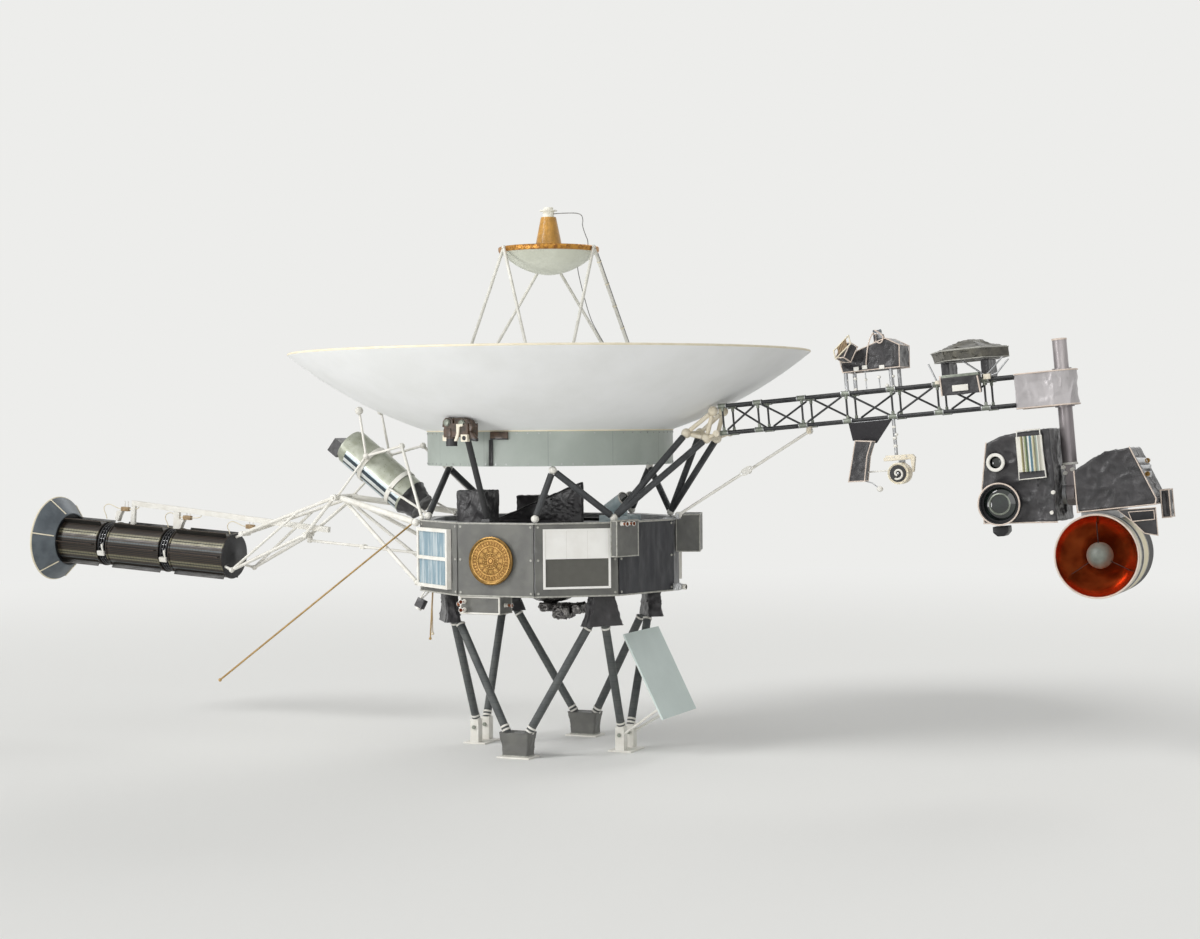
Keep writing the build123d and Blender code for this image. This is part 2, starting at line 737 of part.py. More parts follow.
station_list = [first_station + station_pitch * count for count in range(stations)]
all_stations = [46.0] + station_list
levels = (0.0, boom_depth)
chord_start = 18.0 + seat
chord_end = housing_start - seat
boom_parts = []
for y in (-half_width, half_width):
    for h in levels:
        boom_parts.append(bar(on_boom(chord_start, y, h), on_boom(chord_end, y, h), chord_diameter))
lace_trim = chord_diameter / 2 + seat


def lace(start, end):
    """A lacing tube square between two chords."""
    return bar(start, end, lace_diameter, lace_trim, lace_trim)


for s in all_stations:
    for y in (-half_width, half_width):
        boom_parts.append(lace(on_boom(s, y, 0), on_boom(s, y, boom_depth)))
    for h in levels:
        boom_parts.append(lace(on_boom(s, -half_width, h), on_boom(s, half_width, h)))


def diagonal(start, end, chord_way):
    """A lacing tube between two chords, trimmed where it meets each."""
    way = (Vector(end) - Vector(start)).normalized()
    lean = math.radians(way.get_angle(Vector(chord_way)))
    trim = (chord_diameter / 2 + seat) / math.sin(lean) + lace_diameter / 2 / math.tan(lean)
    return bar(start, end, lace_diameter, trim, trim)


boom_way = boom.x_dir
for count, (near, far) in enumerate(zip(all_stations, all_stations[1:])):
    flip = count % 2 == 0
    for y in (-half_width, half_width):
        rising = flip == (y < 0)
        low, high = (near, far) if rising else (far, near)
        boom_parts.append(diagonal(on_boom(low, y, 0), on_boom(high, y, boom_depth), boom_way))
    for h in levels:
        left, right = (near, far) if flip == (h > 0) else (far, near)
        boom_parts.append(diagonal(on_boom(left, -half_width, h), on_boom(right, half_width, h), boom_way))
save("boom_truss", *boom_parts)

# Root fitting of the boom, with the hinge pins
root_parts = []
shoe_radius = 18.0
for side in (-1, 1):
    pin = boom * Pos(0, side * (half_width + 20), 0) * Rot(90, 0, 0) * Cylinder(pin_radius, 52)
    shoe = boom * Pos(0, side * half_width, 0) * Rot(90, 0, 0) * Cylinder(shoe_radius, 26)
    root_parts.append(pin + shoe)

# Cosmic ray unit above the boom on four legs
cosmic_s = 1112.0
cosmic_bottom = 316.0
leg_base = boom_depth + chord_diameter / 2 + seat
legs = []
for s in (930, 1236):
    for y in (-half_width, half_width):
        legs.append(boom * Pos(s, y, leg_base) * Cylinder(13, cosmic_bottom - seat - leg_base, align=upright))
cosmic_outline = [(-200, 0), (195, 0), (205, 150), (110, 205), (-60, 150), (-215, 95)]
cosmic_body = boom * Pos(cosmic_s, 125, cosmic_bottom) * Rot(90, 0, 0) * plate_of(cosmic_outline, 250)
telescope_way = Vector(-0.55, -0.65, 0.45)
cosmic_parts = [cosmic_body]
aperture = Plane(origin=on_boom(cosmic_s - 140, -125 - 58, cosmic_bottom + 130), z_dir=telescope_way)
cosmic_parts.append(aperture * Box(110, 120, 70))
fin = boom * Pos(cosmic_s + 40, -20, cosmic_bottom + 207) * Box(20, 200, 60)
cosmic_parts.append(fin)
save("cosmic_ray_unit", *cosmic_parts)

# Plasma unit: a faceted sensor head over an electronics box
plasma_s = 1752.0
plasma_bottom = 318.0
head_low = boom * Plane(origin=(plasma_s, 0, plasma_bottom))
head_high = boom * Plane(origin=(plasma_s - 10, 0, plasma_bottom + 70))
plasma_head = loft([head_low * RegularPolygon(250, 6), head_high * RegularPolygon(262, 6)])
plasma_roof = loft(
    [
        boom * Plane(origin=(plasma_s - 10, 0, plasma_bottom + 70 + seat)) * RegularPolygon(250, 6),
        boom * Plane(origin=(plasma_s, 0, plasma_bottom + 140)) * RegularPolygon(60, 6),
    ]
)
plasma_post_height = plasma_bottom - seat - leg_base
plasma_post = Box(60, 226, plasma_post_height, align=upright)
plasma_posts = [boom * Pos(s, 0, leg_base) * plasma_post for s in (1600, 1860)]
near_side = -half_width - chord_diameter / 2 - seat
facing = (Align.CENTER, Align.MAX, Align.CENTER)
plasma_box = boom * Pos(1707, near_side, 158) * Box(258, 60, 122, align=facing)
save("plasma_unit", plasma_head, plasma_roof, plasma_box, *plasma_posts)

# Particle unit under the boom: web, curved panel and the bearing of its turning head
particle_s = 1250.0
particle_h = -373.0
arm_level = -262.0
arm_depth = 26.0
bearing_y = -half_width + 36
bearing_width = 30.0
web_outline = [(-330, 0), (-30, 0), (-150, -150), (-310, -120)]
web_base = -chord_diameter / 2 - seat
particle_web = boom * Pos(particle_s, -half_width + 4, web_base) * Rot(90, 0, 0) * plate_of(web_outline, 8)
panel_outline = [(-270, -120), (-155, -135), (-195, -235), (-225, -395), (-340, -390)]
panel_place = boom * Pos(particle_s, -half_width - 4 - seat, web_base) * Rot(90, 0, 0)
particle_panel = panel_place * plate_of(panel_outline, 90)
post_s = particle_s - 24
stand_post = bar(on_boom(post_s, -half_width, web_base), on_boom(post_s, -half_width, arm_level), 22)
arm = boom * Pos(particle_s - 20, -half_width - 10, arm_level - seat) * Box(160, 90, arm_depth, align=hanging)
save("particle_unit", particle_panel, arm)
bearing = boom * Pos(particle_s, bearing_y, particle_h) * Rot(90, 0, 0) * Cylinder(34, bearing_width)
strap_top = arm_level - arm_depth - 2 * seat
bearing_strap = boom * Pos(particle_s, bearing_y, strap_top) * Box(40, 26, 50, align=hanging)
save("instrument_stands", *legs, particle_web, stand_post, bearing, bearing_strap)
head_place = boom * Pos(particle_s, bearing_y - bearing_width / 2 - seat, particle_h) * Rot(90, 0, 0)
head_hub = head_place * Cylinder(16, running_gap + 20, align=upright)
head_drum = head_place * Pos(0, 0, running_gap) * Cylinder(70, 100, align=upright)
save("particle_head", head_drum + head_hub)

# Azimuth housing at the end of the boom, round where it holds the column
with BuildSketch() as housing_sketch:
    Rectangle(column_s - housing_start, boom_width, align=(Align.MIN, Align.CENTER))
    with Locations((column_s - housing_start, 0)):
        Circle(half_width)
        Circle(column_diameter / 2 + bearing_gap, mode=Mode.SUBTRACT)
housing = boom * Pos(housing_start, 0, housing_bottom) * extrude(housing_sketch.sketch, housing_height)
save("azimuth_housing", housing)

# Column through the housing, held by a flange above and below it
flange_gap = 1.0
housing_top = housing_bottom + housing_height
column_length = column_top - column_bottom
column = boom * Pos(column_s, 0, column_bottom) * Cylinder(column_diameter / 2, column_length, align=upright)
upper_flange = boom * Pos(column_s, 0, housing_top + flange_gap) * Cylinder(62, 10, align=upright)
lower_flange = boom * Pos(column_s, 0, housing_bottom - flange_gap) * Cylinder(62, 10, align=hanging)

# Elevation drive under the column, bored for the platform's shaft
drive_top = column_bottom - seat
neck_height = drive_top - elevation_h
neck = boom * Pos(column_s, 0, elevation_h) * Box(actuator_length, 100, neck_height, align=upright)
drive_axis = boom * Pos(column_s, 0, elevation_h) * Rot(0, 90, 0)
drum = drive_axis * Cylinder(actuator_diameter / 2, actuator_length)
bore = drive_axis * Cylinder(shaft_diameter / 2 + bearing_gap, actuator_length * 2)
save("platform_column", column + upper_flange + lower_flange, neck + drum - bore)

# Shaft of the platform with a flange at each end
shaft_half = actuator_length / 2 + running_gap
shaft = drive_axis * Cylinder(shaft_diameter / 2, 2 * shaft_half)
flange = Cylinder(flange_diameter / 2, flange_thickness)
flanges = [drive_axis * Pos(0, 0, side * (shaft_half + flange_thickness / 2)) * flange for side in (-1, 1)]
flange_reach = shaft_half + flange_thickness + seat

# Camera housing: outline across the boom's direction, extruded from front to back
camera_right = column_s - flange_reach
camera_outline = [
    (camera_right, -165),
    (1983, -180),
    (1856, -223),
    (1805, -512),
    (1800, -740),
    (camera_right, -765),
]
camera_depth = camera_back - camera_front
camera_body = boom * Pos(0, camera_back, 0) * Rot(90, 0, 0) * plate_of(camera_outline, camera_depth)
save("camera_housing", camera_body)
narrow_centre = (1925, -620)
wide_centre = (1921, -356)
narrow_front = camera_front - 70
wide_front = camera_front - 45


def front_tube(centre, outer, inner, front, back):
    """An open tube pointing forward from a housing's face."""
    place = boom * Pos(centre[0], back - seat, centre[1]) * Rot(90, 0, 0)
    length = back - seat - front
    opening = Pos(0, 0, tube_wall) * Cylinder(inner / 2, length, align=upright)
    return place * (Cylinder(outer / 2, length, align=upright) - opening)


tube_wall = 12.0
narrow_inner = narrow_diameter - 2 * tube_wall
wide_inner = wide_diameter - 2 * tube_wall
save(
    "camera_tubes",
    front_tube(narrow_centre, narrow_diameter, narrow_inner, narrow_front, camera_front),
    front_tube(wide_centre, wide_diameter, wide_inner, wide_front, camera_front),
)
radiator_s = 2137.0
radiator_plate = 12.0
radiator_place = boom * Pos(radiator_s, camera_front - seat, -331) * Rot(90, 0, 0)
radiator_base = radiator_place * Box(165, 290, radiator_plate, align=upright)
fin_blade = Box(12, 230, 18, align=upright)
fin_base = radiator_plate + seat
fins = [radiator_place * Pos(offset, 11, fin_base) * fin_blade for offset in (-52, -26, 0, 26, 52)]
save("camera_radiator", radiator_base, *fins)

# Spectrometer housing on the other side of the drive
spectrometer_left = column_s + flange_reach
spectrometer_outline = [
    (spectrometer_left, -449),
    (2584, -336),
    (2744, -326),
    (2881, -660),
    (2872, -700),
    (spectrometer_left, -715),
]
spectrometer_front, spectrometer_back = -200.0, 220.0
spectrometer_depth = spectrometer_back - spectrometer_front
spectrometer_place = boom * Pos(0, spectrometer_back, 0) * Rot(90, 0, 0)
spectrometer_body = spectrometer_place * plate_of(spectrometer_outline, spectrometer_depth)
ear_box = boom * Pos(2881 + seat, 0, -700) * Box(60, 150, 180, align=(Align.MIN, Align.CENTER, Align.CENTER))
save("spectrometer_housing", spectrometer_body, ear_box)

# Infrared telescope: an open drum with its mirror bowl and a secondary on a spider
telescope_length = telescope_back - telescope_front
telescope_place = boom * Pos(telescope_s, telescope_back, telescope_h) * Rot(90, 0, 0)
drum_radius = telescope_diameter / 2
mirror_depth = 200.0
mirror_rim = drum_radius - telescope_wall
mirror_floor = telescope_length - mirror_depth
mirror_curve = (mirror_rim**2 + mirror_depth**2) / (2 * mirror_depth)
mirror_half = mirror_rim * 0.6
half_floor = mirror_floor + mirror_curve - math.sqrt(mirror_curve**2 - mirror_half**2)
with BuildSketch(Plane.XZ) as drum_profile:
    with BuildLine():
        Line((0, 0), (drum_radius, 0))
        Line((drum_radius, 0), (drum_radius, telescope_length))
        Line((drum_radius, telescope_length), (mirror_rim, telescope_length))
        ThreePointArc((mirror_rim, telescope_length), (mirror_half, half_floor), (0, mirror_floor))
        Line((0, mirror_floor), (0, 0))
    make_face()
telescope_drum = telescope_place * revolve(drum_profile.sketch, Axis.Z)
save("telescope_drum", telescope_drum)
secondary_back = telescope_length - 130
post_length = secondary_back - mirror_floor - 1 - seat
secondary_post = telescope_place * Pos(0, 0, mirror_floor + 1) * Cylinder(16, post_length, align=upright)
secondary = telescope_place * Pos(0, 0, secondary_back) * Cone(77, 40, 90, align=upright)
save("telescope_secondary", secondary_post, secondary)
saddle_drum = telescope_place * Cylinder(drum_radius + seat, telescope_length + 70, align=upright)
saddle = boom * Pos(telescope_s + 20, 0, -715 - seat) * Box(240, 300, 60, align=hanging)
save("platform_shaft", shaft + flanges[0] + flanges[1], saddle - saddle_drum)

# Folding braces: two links side by side, with an eye at each end
eye_thickness = 24.0
cheek_thickness = 6.0
brace_pin = 14.0


def link(start, end, offset, bored, eye):
    """A brace link beside the middle plane; the eye at the bored point takes a pin."""
    shift = Vector(0, offset, 0)
    first, last = Vector(start) + shift, Vector(end) + shift
    rod = bar(first, last, brace_diameter - 6)
    ends = [Pos(*point) * Rot(90, 0, 0) * Cylinder(eye / 2, eye_thickness) for point in (first, last)]
    hole = Cylinder(brace_pin / 2 + bearing_gap, 2 * eye_thickness)
    return rod + ends[0] + ends[1] - Pos(*(Vector(bored) + shift)) * Rot(90, 0, 0) * hole


def pinned_clevis(point, offset, width, reach_up, reach_down):
    """Two cheeks either side of an eye with the pin through them."""
    centre = Vector(point) + Vector(0, offset, 0)
    side = eye_thickness / 2 + 1.0 + cheek_thickness / 2
    pin_length = eye_thickness + 2 + 2 * cheek_thickness + 6
    body = Pos(*centre) * Rot(90, 0, 0) * Cylinder(brace_pin / 2, pin_length)
    cheek_plate = Box(width, cheek_thickness, reach_up + reach_down)
    for cheek in (-side, side):
        middle_z = (reach_up - reach_down) / 2
        body += Pos(*(centre + Vector(0, cheek, middle_z))) * cheek_plate
    return body


brace_low = Vector(corner_radius + 40, 0, bus_top + 28)
brace_high = on_boom(station_list[1], 0, -40)
knee_point = brace_low + (brace_high - brace_low) * brace_knee
save("brace_lower", link(brace_low, knee_point, -brace_offset, brace_low, 44.0))
save("brace_upper", link(knee_point, brace_high, brace_offset, brace_high, 44.0))
brace_foot = Pos(corner_radius - 9, -brace_offset, bus_top + seat) * Box(90, 60, 4, align=upright)
foot_arm = pinned_clevis(brace_low, -brace_offset, 24, 12, 28 - seat)
brace_bracket = brace_foot + foot_arm
lug_drop = 40 - lace_diameter / 2 - seat
brace_lug = pinned_clevis((0, 0, 0), brace_offset, 30, lug_drop, 15)
save("boom_hinge", *root_parts, boom * Pos(station_list[1], 0, -40) * brace_lug)

# Generator boom
rtg = Plane(
    origin=(rtg_hinge_x, 0, rtg_hinge_z),
    x_dir=(-math.cos(math.radians(rtg_rise)), 0, math.sin(math.radians(rtg_rise))),
    z_dir=(math.sin(math.radians(rtg_rise)), 0, math.cos(math.radians(rtg_rise))),
)


def on_rtg(s, y, h):
    """A point given in the generator boom's own axes, y towards the record disc."""
    return rtg.from_local_coords((s, y, h))


axis_h = -rtg_drop
case_parts, fin_parts, coupling_parts = [], [], []
case_radius = generator_case_diameter / 2
fin_height = (generator_diameter - generator_case_diameter) / 2 - seat
fin_align = (Align.MIN, Align.CENTER, Align.MIN)
generator_fin = Box(fin_height, fin_thickness, generator_length - 40, align=fin_align)
for count in range(generator_count):
    start = rtg_start + generator_pitch * count
    place = rtg * Pos(start, 0, axis_h) * Rot(0, 90, 0)
    case_parts.append(place * Cylinder(case_radius, generator_length, align=upright))
    for fin in range(6):
        fin_parts.append(place * Rot(0, 0, 60 * fin + 30) * Pos(case_radius + seat, 0, 20) * generator_fin)
    if count < generator_count - 1:
        gap = generator_pitch - generator_length - 2 * seat
        coupling = Cylinder(case_radius - 12, gap, align=upright)
        coupling_parts.append(place * Pos(0, 0, generator_length + seat) * coupling)
save("generator_cases", *case_parts)
save("generator_fins", *fin_parts)
save("generator_couplings", *coupling_parts)

# End shroud, a cone that flares round the last generator
shroud_end = rtg_start + generator_pitch * (generator_count - 1) + generator_length
with BuildSketch(Plane.XZ) as shroud_profile:
    with BuildLine():
        inner_radius = generator_diameter / 2 + seat
        Polyline(
            (inner_radius, 0),
            (inner_radius + 8, 0),
            (shroud_diameter / 2, shroud_depth),
            (shroud_diameter / 2, shroud_depth + 14),
            (shroud_diameter / 2 - 10, shroud_depth + 14),
            (inner_radius, 16),
            (inner_radius, 0),
        )
    make_face()
shroud_place = rtg * Pos(shroud_end - shroud_depth, 0, axis_h) * Rot(0, 90, 0)
end_place = rtg * Pos(shroud_end + seat, 0, axis_h) * Rot(0, 90, 0)
end_plate = end_place * Cylinder(case_radius - 20, 14, align=upright)
save("end_shroud", shroud_place * revolve(shroud_profile.sketch, Axis.Z), end_plate)

# Open frame between the hinge and the first generator
frame_tube = 26.0
frame_node = 40.0
mount_radius = 178.0
mount_s = rtg_start - 86
rtg_nodes = {
    "top": on_rtg(mount_s, 0, axis_h + mount_radius),
    "near": on_rtg(mount_s, mount_radius * 0.866, axis_h - mount_radius / 2),
    "far": on_rtg(mount_s, -mount_radius * 0.866, axis_h - mount_radius / 2),
}
frame_parts, frame_balls = [], []
lower_node = Vector(-1995, 0, 1470)
frame_balls.append(Pos(*lower_node) * Rot(90, 0, 0) * Cylinder(frame_node / 2, 116))
frame_balls.append(Pos(*rtg_nodes["top"]) * Rot(90, 0, 0) * Cylinder(frame_node / 2, 116))
cross_space = Rot(90, 0, 0) * Cylinder(frame_node / 2 + seat, 120)
knuckle_space = Rot(90, 0, 0) * Cylinder(24 + seat, 80)
for name, sign in (("near", -1), ("far", 1)):
    ear = Vector(rtg_hinge_x, sign * ear_offset, rtg_hinge_z)
    cross_end = lower_node + Vector(0, sign * 40, 0)
    top_end = rtg_nodes["top"] + Vector(0, sign * 40, 0)
    top_bar = bar(top_end, ear, frame_tube) - Pos(*rtg_nodes["top"]) * cross_space - Pos(*ear) * knuckle_space
    low_tube = bar(rtg_nodes[name], cross_end, frame_tube, frame_node / 2 + seat)
    low_bar = low_tube - Pos(*lower_node) * cross_space
    ear_bar = bar(cross_end, ear, frame_tube) - Pos(*lower_node) * cross_space - Pos(*ear) * knuckle_space
    half_point = top_end + (ear - top_end) * 0.62
    side_bar = bar(rtg_nodes[name], half_point, 20, frame_node / 2 + seat)
    frame_parts += [top_bar, low_bar, ear_bar, side_bar - bar(top_end, ear, frame_tube + 2 * seat)]
mount_place = rtg * Pos(rtg_start - seat, 0, axis_h) * Rot(0, -90, 0)
mount_plate = mount_place * Cylinder(case_radius, 6, align=upright)
mount_lugs = [mount_plate]
for name, centre in rtg_nodes.items():
    if name != "top":
        frame_balls.append(ball(centre, frame_node))
    towards = on_rtg(0, 0, 0) - on_rtg(1, 0, 0)
    inward = (on_rtg(mount_s, 0, axis_h) - centre).normalized() * 36
    foot = centre - towards * (rtg_start - seat - 6 - seat - mount_s) + inward
    mount_lugs.append(bar(centre, foot, 20, frame_node / 2 + seat, 4.8))

# Hinge knuckles on both sides
rtg_knuckles = []
rtg_pin = 9.0
for sign in (-1, 1):
    ear = Vector(rtg_hinge_x, sign * ear_offset, rtg_hinge_z)
    knuckle = Pos(*ear) * Rot(90, 0, 0) * Cylinder(24, 30)
    rtg_knuckles.append(knuckle - Pos(*ear) * Rot(90, 0, 0) * Cylinder(rtg_pin + bearing_gap, 60))

# Cable channel above the generators
channel_width = 34.0
channel_out = Vector(-3563, 0, 1695)
channel_in = Vector(-1812, 0, 1508)
channel_way = (channel_out - channel_in).normalized()
channel_length = (channel_out - channel_in).length
channel_plane = Plane(origin=channel_in, x_dir=channel_way, z_dir=Vector(channel_way.Z, 0, -channel_way.X))
channel_depth = 40.0
channel_align = (Align.MIN, Align.CENTER, Align.CENTER)
channel = channel_plane * Box(channel_length, channel_width, channel_depth, align=channel_align)
channel_room = Box(2 * channel_length, 400, 600, align=hanging)
below_channel = channel_plane * Pos(0, 0, -channel_depth / 2 - seat) * channel_room
channel_posts = []
for post_s, post_foot in ((rtg_start + generator_length + 45, case_radius - 12), (1870, case_radius)):
    post = rtg * Pos(post_s, 0, axis_h + post_foot + seat) * Box(50, 26, 300, align=upright)
    channel_posts.append(post & below_channel)
save("cable_channel", channel, *channel_posts)

# Outrigger from the bus to the hinge, with the pins of the hinge
outrigger_parts, outrigger_nodes = [], []
pivot = Vector(rtg_hinge_x, 0, rtg_hinge_z)
pin = Pos(*pivot) * Rot(90, 0, 0) * Cylinder(rtg_pin, 2 * ear_offset + 50)
pivot_tube = Pos(*pivot) * Rot(90, 0, 0) * Cylinder(22, 240)
pivot_shaft = pin + pivot_tube
pivot_space = Pos(*pivot) * Rot(90, 0, 0) * Cylinder(22 + seat, 260)
outrigger_node = 42.0
top_corners = {}
for sign in (-1, 1):
    top_corner = polar(sign * 144, corner_radius + 26.6, bus_top - 18)
    top_corners[sign] = top_corner
    outrigger_nodes.append(ball(top_corner, outrigger_node + 12))
    hinge_end = pivot + Vector(0, sign * 78, 0)
    thick = bar(hinge_end, top_corner, 44, 0, outrigger_node / 2 + 6 + seat)
    low_corner = polar(sign * 144, corner_radius + 20.6, 1180)
    outrigger_nodes.append(ball(low_corner, outrigger_node))
    thin = bar(pivot + Vector(0, sign * 36, 0), low_corner, 28, 0, outrigger_node / 2 + seat)
    outrigger_parts += [thick - pivot_space, thin - pivot_space]
left_low = Vector(-corner_radius - 9.5, 40, 1215)
outrigger_nodes.append(ball(left_low, outrigger_node))
outrigger_parts.append(bar(pivot, left_low, 24, 0, outrigger_node / 2 + seat) - pivot_space)

# Generator boom brace, from the bus's left corner to the frame's lower node
rtg_brace_low = Vector(-corner_radius - 40, 0, 1343)
rtg_brace_high = Vector(lower_node.X + 6, 0, lower_node.Z - frame_node / 2 - 24)
rtg_knee_point = rtg_brace_low + (rtg_brace_high - rtg_brace_low) * 0.54
save("rtg_brace_inner", link(rtg_brace_low, rtg_knee_point, -brace_offset, rtg_brace_low, 36.0))
save("rtg_brace_outer", link(rtg_knee_point, rtg_brace_high, brace_offset, rtg_brace_high, 36.0))
wall_arm = pinned_clevis(rtg_brace_low, -brace_offset, 24, 12, 12)
wall_centre = Vector(-corner_radius - 2 - seat, -brace_offset, 1343)
wall_plate = Pos(*wall_centre) * Box(4, 96, 60)
for cheek in (-1, 1):
    reach = Pos(*(wall_centre + Vector(-18, cheek * (eye_thickness / 2 + 1 + cheek_thickness / 2), 0)))
    wall_arm += reach * Box(36, cheek_thickness, 24)
brace_lug = pinned_clevis(rtg_brace_high, brace_offset, 26, 23.7, 13)
save("rtg_frame", *frame_parts, *frame_balls, *mount_lugs, *rtg_knuckles, brace_lug)
save("brace_brackets", brace_bracket, wall_arm + wall_plate)

# Magnetometer canister with its blanket base
canister_low = Vector(-1130, 0, 1755)
canister_high = Vector(-1611, 0, 2121)
canister_way = (canister_high - canister_low).normalized()
canister_length = (canister_high - canister_low).length
canister_diameter = 270.0
canister_frame = Plane(origin=canister_low, x_dir=(0, 1, 0), z_dir=canister_way)
canister_body = canister_frame * Cylinder(canister_diameter / 2, canister_length, align=upright)
cap_disc = Cylinder(canister_diameter / 2 - 14, 26, align=upright)
canister_cap = canister_frame * Pos(0, 0, canister_length + seat) * cap_disc
save("magnetometer_canister", canister_body, canister_cap)
base_length = 120.0
canister_base = canister_frame * Pos(0, 0, -base_length - seat) * Cone(105, 142, base_length, align=upright)
save("deck_boxes", *deck_boxes, slanted_sheet, canister_base)
sensor_plane = canister_frame * Pos(0, 0, canister_length + 26 + 2 * seat)
sensor_box = sensor_plane * Pos(0, 60, 0) * Box(160, 110, 90, align=upright)
save("magnetometer_sensor", sensor_box)

# Tubes that hold the canister
canister_tubes, canister_nodes = [], []
band_radius = canister_diameter / 2 + 9
low_band = 110.0
side_band = 391.0
for sign in (-1, 1):
    crown_node = Vector(-1105, sign * 160, 2127)
    corner = polar(sign * 144, corner_radius - 16, bus_top + 15 + seat)
    side_node = Vector(-1392, sign * 174, 2056)
    head_node = Vector(-1455, sign * 160, 2385)
    for centre in (crown_node, side_node):
        canister_nodes.append(ball(centre, 46))
    for centre in (head_node,):
        canister_nodes.append(ball(centre, 60))
    hinge_end = pivot + Vector(0, sign * 111, 0)
    canister_nodes.append(ball(corner, 34))
    canister_tubes.append(bar(crown_node, corner, 22, 23 + seat, 17 + seat))
    canister_tubes.append(bar(crown_node, side_node, 18, 23 + seat, 23 + seat))
    canister_tubes.append(bar(side_node, head_node, 18, 23 + seat, 30 + seat))
    canister_tubes.append(bar(side_node, hinge_end, 18, 23 + seat) - pivot_space)
    band_space = canister_frame * Pos(0, 0, side_band) * Cylinder(band_radius + seat, 80)
    axis_point = canister_low + canister_way * side_band
    canister_tubes.append(bar(side_node, axis_point, 22, 23 + seat) - band_space)
    low_band_point = canister_low + canister_way * low_band
    rim_foot = Vector(-864, sign * 196, bus_top + 15 + seat)
    stay_end = low_band_point + Vector(0, sign * (band_radius + 12 + seat), 0)
    canister_nodes += [ball(rim_foot, 30), ball(stay_end, 24)]
    canister_tubes.append(bar(rim_foot, stay_end, 18, 15 + seat, 12 + seat))

# Clamp bands round the canister
band_width = 34.0
bands = []
for along in (low_band, side_band):
    band = Cylinder(band_radius, band_width) - Cylinder(canister_diameter / 2 + seat, 2 * band_width)
    bands.append(canister_frame * Pos(0, 0, along) * band)
save("canister_truss", *canister_tubes, *canister_nodes, *bands)

# Whip antennas, one on each side
whip_parts, whip_mounts = [], []
for sign in (-1, 1):
    base = Vector(whip_base[0], sign * whip_base[1], whip_base[2])
    tip = Vector(whip_tip[0], sign * whip_tip[1], whip_tip[2])
    whip_parts.append(bar(base, tip, whip_diameter, 14 + seat, 12 + seat))
    whip_parts.append(ball(tip, 24))
    outward = polar(180 - 18 * sign, 1, 0)
    stand_off = base.dot(outward) - apothem - seat
    whip_mounts += [ball(base, 28), bar(base, base - outward * stand_off, 18, 14 + seat)]
save("whip_antennas", *whip_parts)
save("outrigger", *outrigger_parts, *outrigger_nodes, pivot_shaft, *whip_mounts)
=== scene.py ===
import bpy, bmesh
from math import atan2, cos, hypot, pi, radians, sin
from mathutils import Matrix, Vector, noise

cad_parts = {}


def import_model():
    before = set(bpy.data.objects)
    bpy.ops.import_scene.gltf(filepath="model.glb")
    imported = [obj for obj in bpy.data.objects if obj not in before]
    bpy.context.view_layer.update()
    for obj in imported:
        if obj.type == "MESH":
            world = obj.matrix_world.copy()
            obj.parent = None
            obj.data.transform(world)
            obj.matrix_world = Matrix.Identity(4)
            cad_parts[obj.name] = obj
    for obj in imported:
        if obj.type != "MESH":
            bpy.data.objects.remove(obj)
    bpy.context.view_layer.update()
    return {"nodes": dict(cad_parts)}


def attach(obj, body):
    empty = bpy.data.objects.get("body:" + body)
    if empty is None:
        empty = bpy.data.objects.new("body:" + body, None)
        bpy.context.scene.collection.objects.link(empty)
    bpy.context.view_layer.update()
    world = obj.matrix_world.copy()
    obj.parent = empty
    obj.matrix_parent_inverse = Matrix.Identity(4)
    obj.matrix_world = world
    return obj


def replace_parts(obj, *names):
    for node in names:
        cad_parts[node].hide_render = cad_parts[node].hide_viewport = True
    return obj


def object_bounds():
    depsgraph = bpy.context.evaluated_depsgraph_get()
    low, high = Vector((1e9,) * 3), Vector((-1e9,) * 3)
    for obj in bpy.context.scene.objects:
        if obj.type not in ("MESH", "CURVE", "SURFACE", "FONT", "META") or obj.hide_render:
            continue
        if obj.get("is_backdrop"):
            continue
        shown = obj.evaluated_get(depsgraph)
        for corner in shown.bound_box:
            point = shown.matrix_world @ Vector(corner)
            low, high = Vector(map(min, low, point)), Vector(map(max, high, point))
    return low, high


# A space probe on the feet of its launch adapter. Metres, Z up, X out to the science boom.
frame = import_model()
nodes = frame["nodes"]
scene = bpy.context.scene
scene.view_settings.view_transform = "Standard"
mm = 0.001
noise.seed_set(1)  # the folds come out the same each run


def at(x, y, z):
    # a place in mm, given back in metres
    return Vector((x, y, z)) * mm


def addObject(name, data, placed=Matrix()):
    # an object in the scene
    thing = bpy.data.objects.new(name, data)
    thing.matrix_world = placed
    scene.collection.objects.link(thing)
    return thing


# The camera stands where the photograph was taken from
view = {
    "place": (6.3985, -13.7126, 2.2497),
    "forward": (-0.40177, 0.91553, -0.01961),
    "right": (0.91571, 0.40185, 0.0),
    "roll": -0.008,
    "lens": 64.305,  # mm on a 36 mm wide sensor
}
forward, right = Vector(view["forward"]).normalized(), Vector(view["right"]).normalized()
up = right.cross(forward)
lean = Matrix.Rotation(-view["roll"], 3, forward)
axes = Matrix((lean @ right, lean @ up, -forward)).transposed().to_4x4()
lens = bpy.data.cameras.new("camera")
lens.lens, lens.sensor_width, lens.sensor_fit, lens.clip_end = view["lens"], 36, "HORIZONTAL", 200
scene.camera = addObject("camera", lens, Matrix.Translation(view["place"]) @ axes)


def hexColour(code):
    # sRGB hex to the linear value a shader takes
    parts = [int(code[i:i + 2], 16) / 255 for i in (1, 3, 5)]
    return tuple(p / 12.92 if p <= 0.04045 else ((p + 0.055) / 1.055) ** 2.4 for p in parts) + (1.0,)


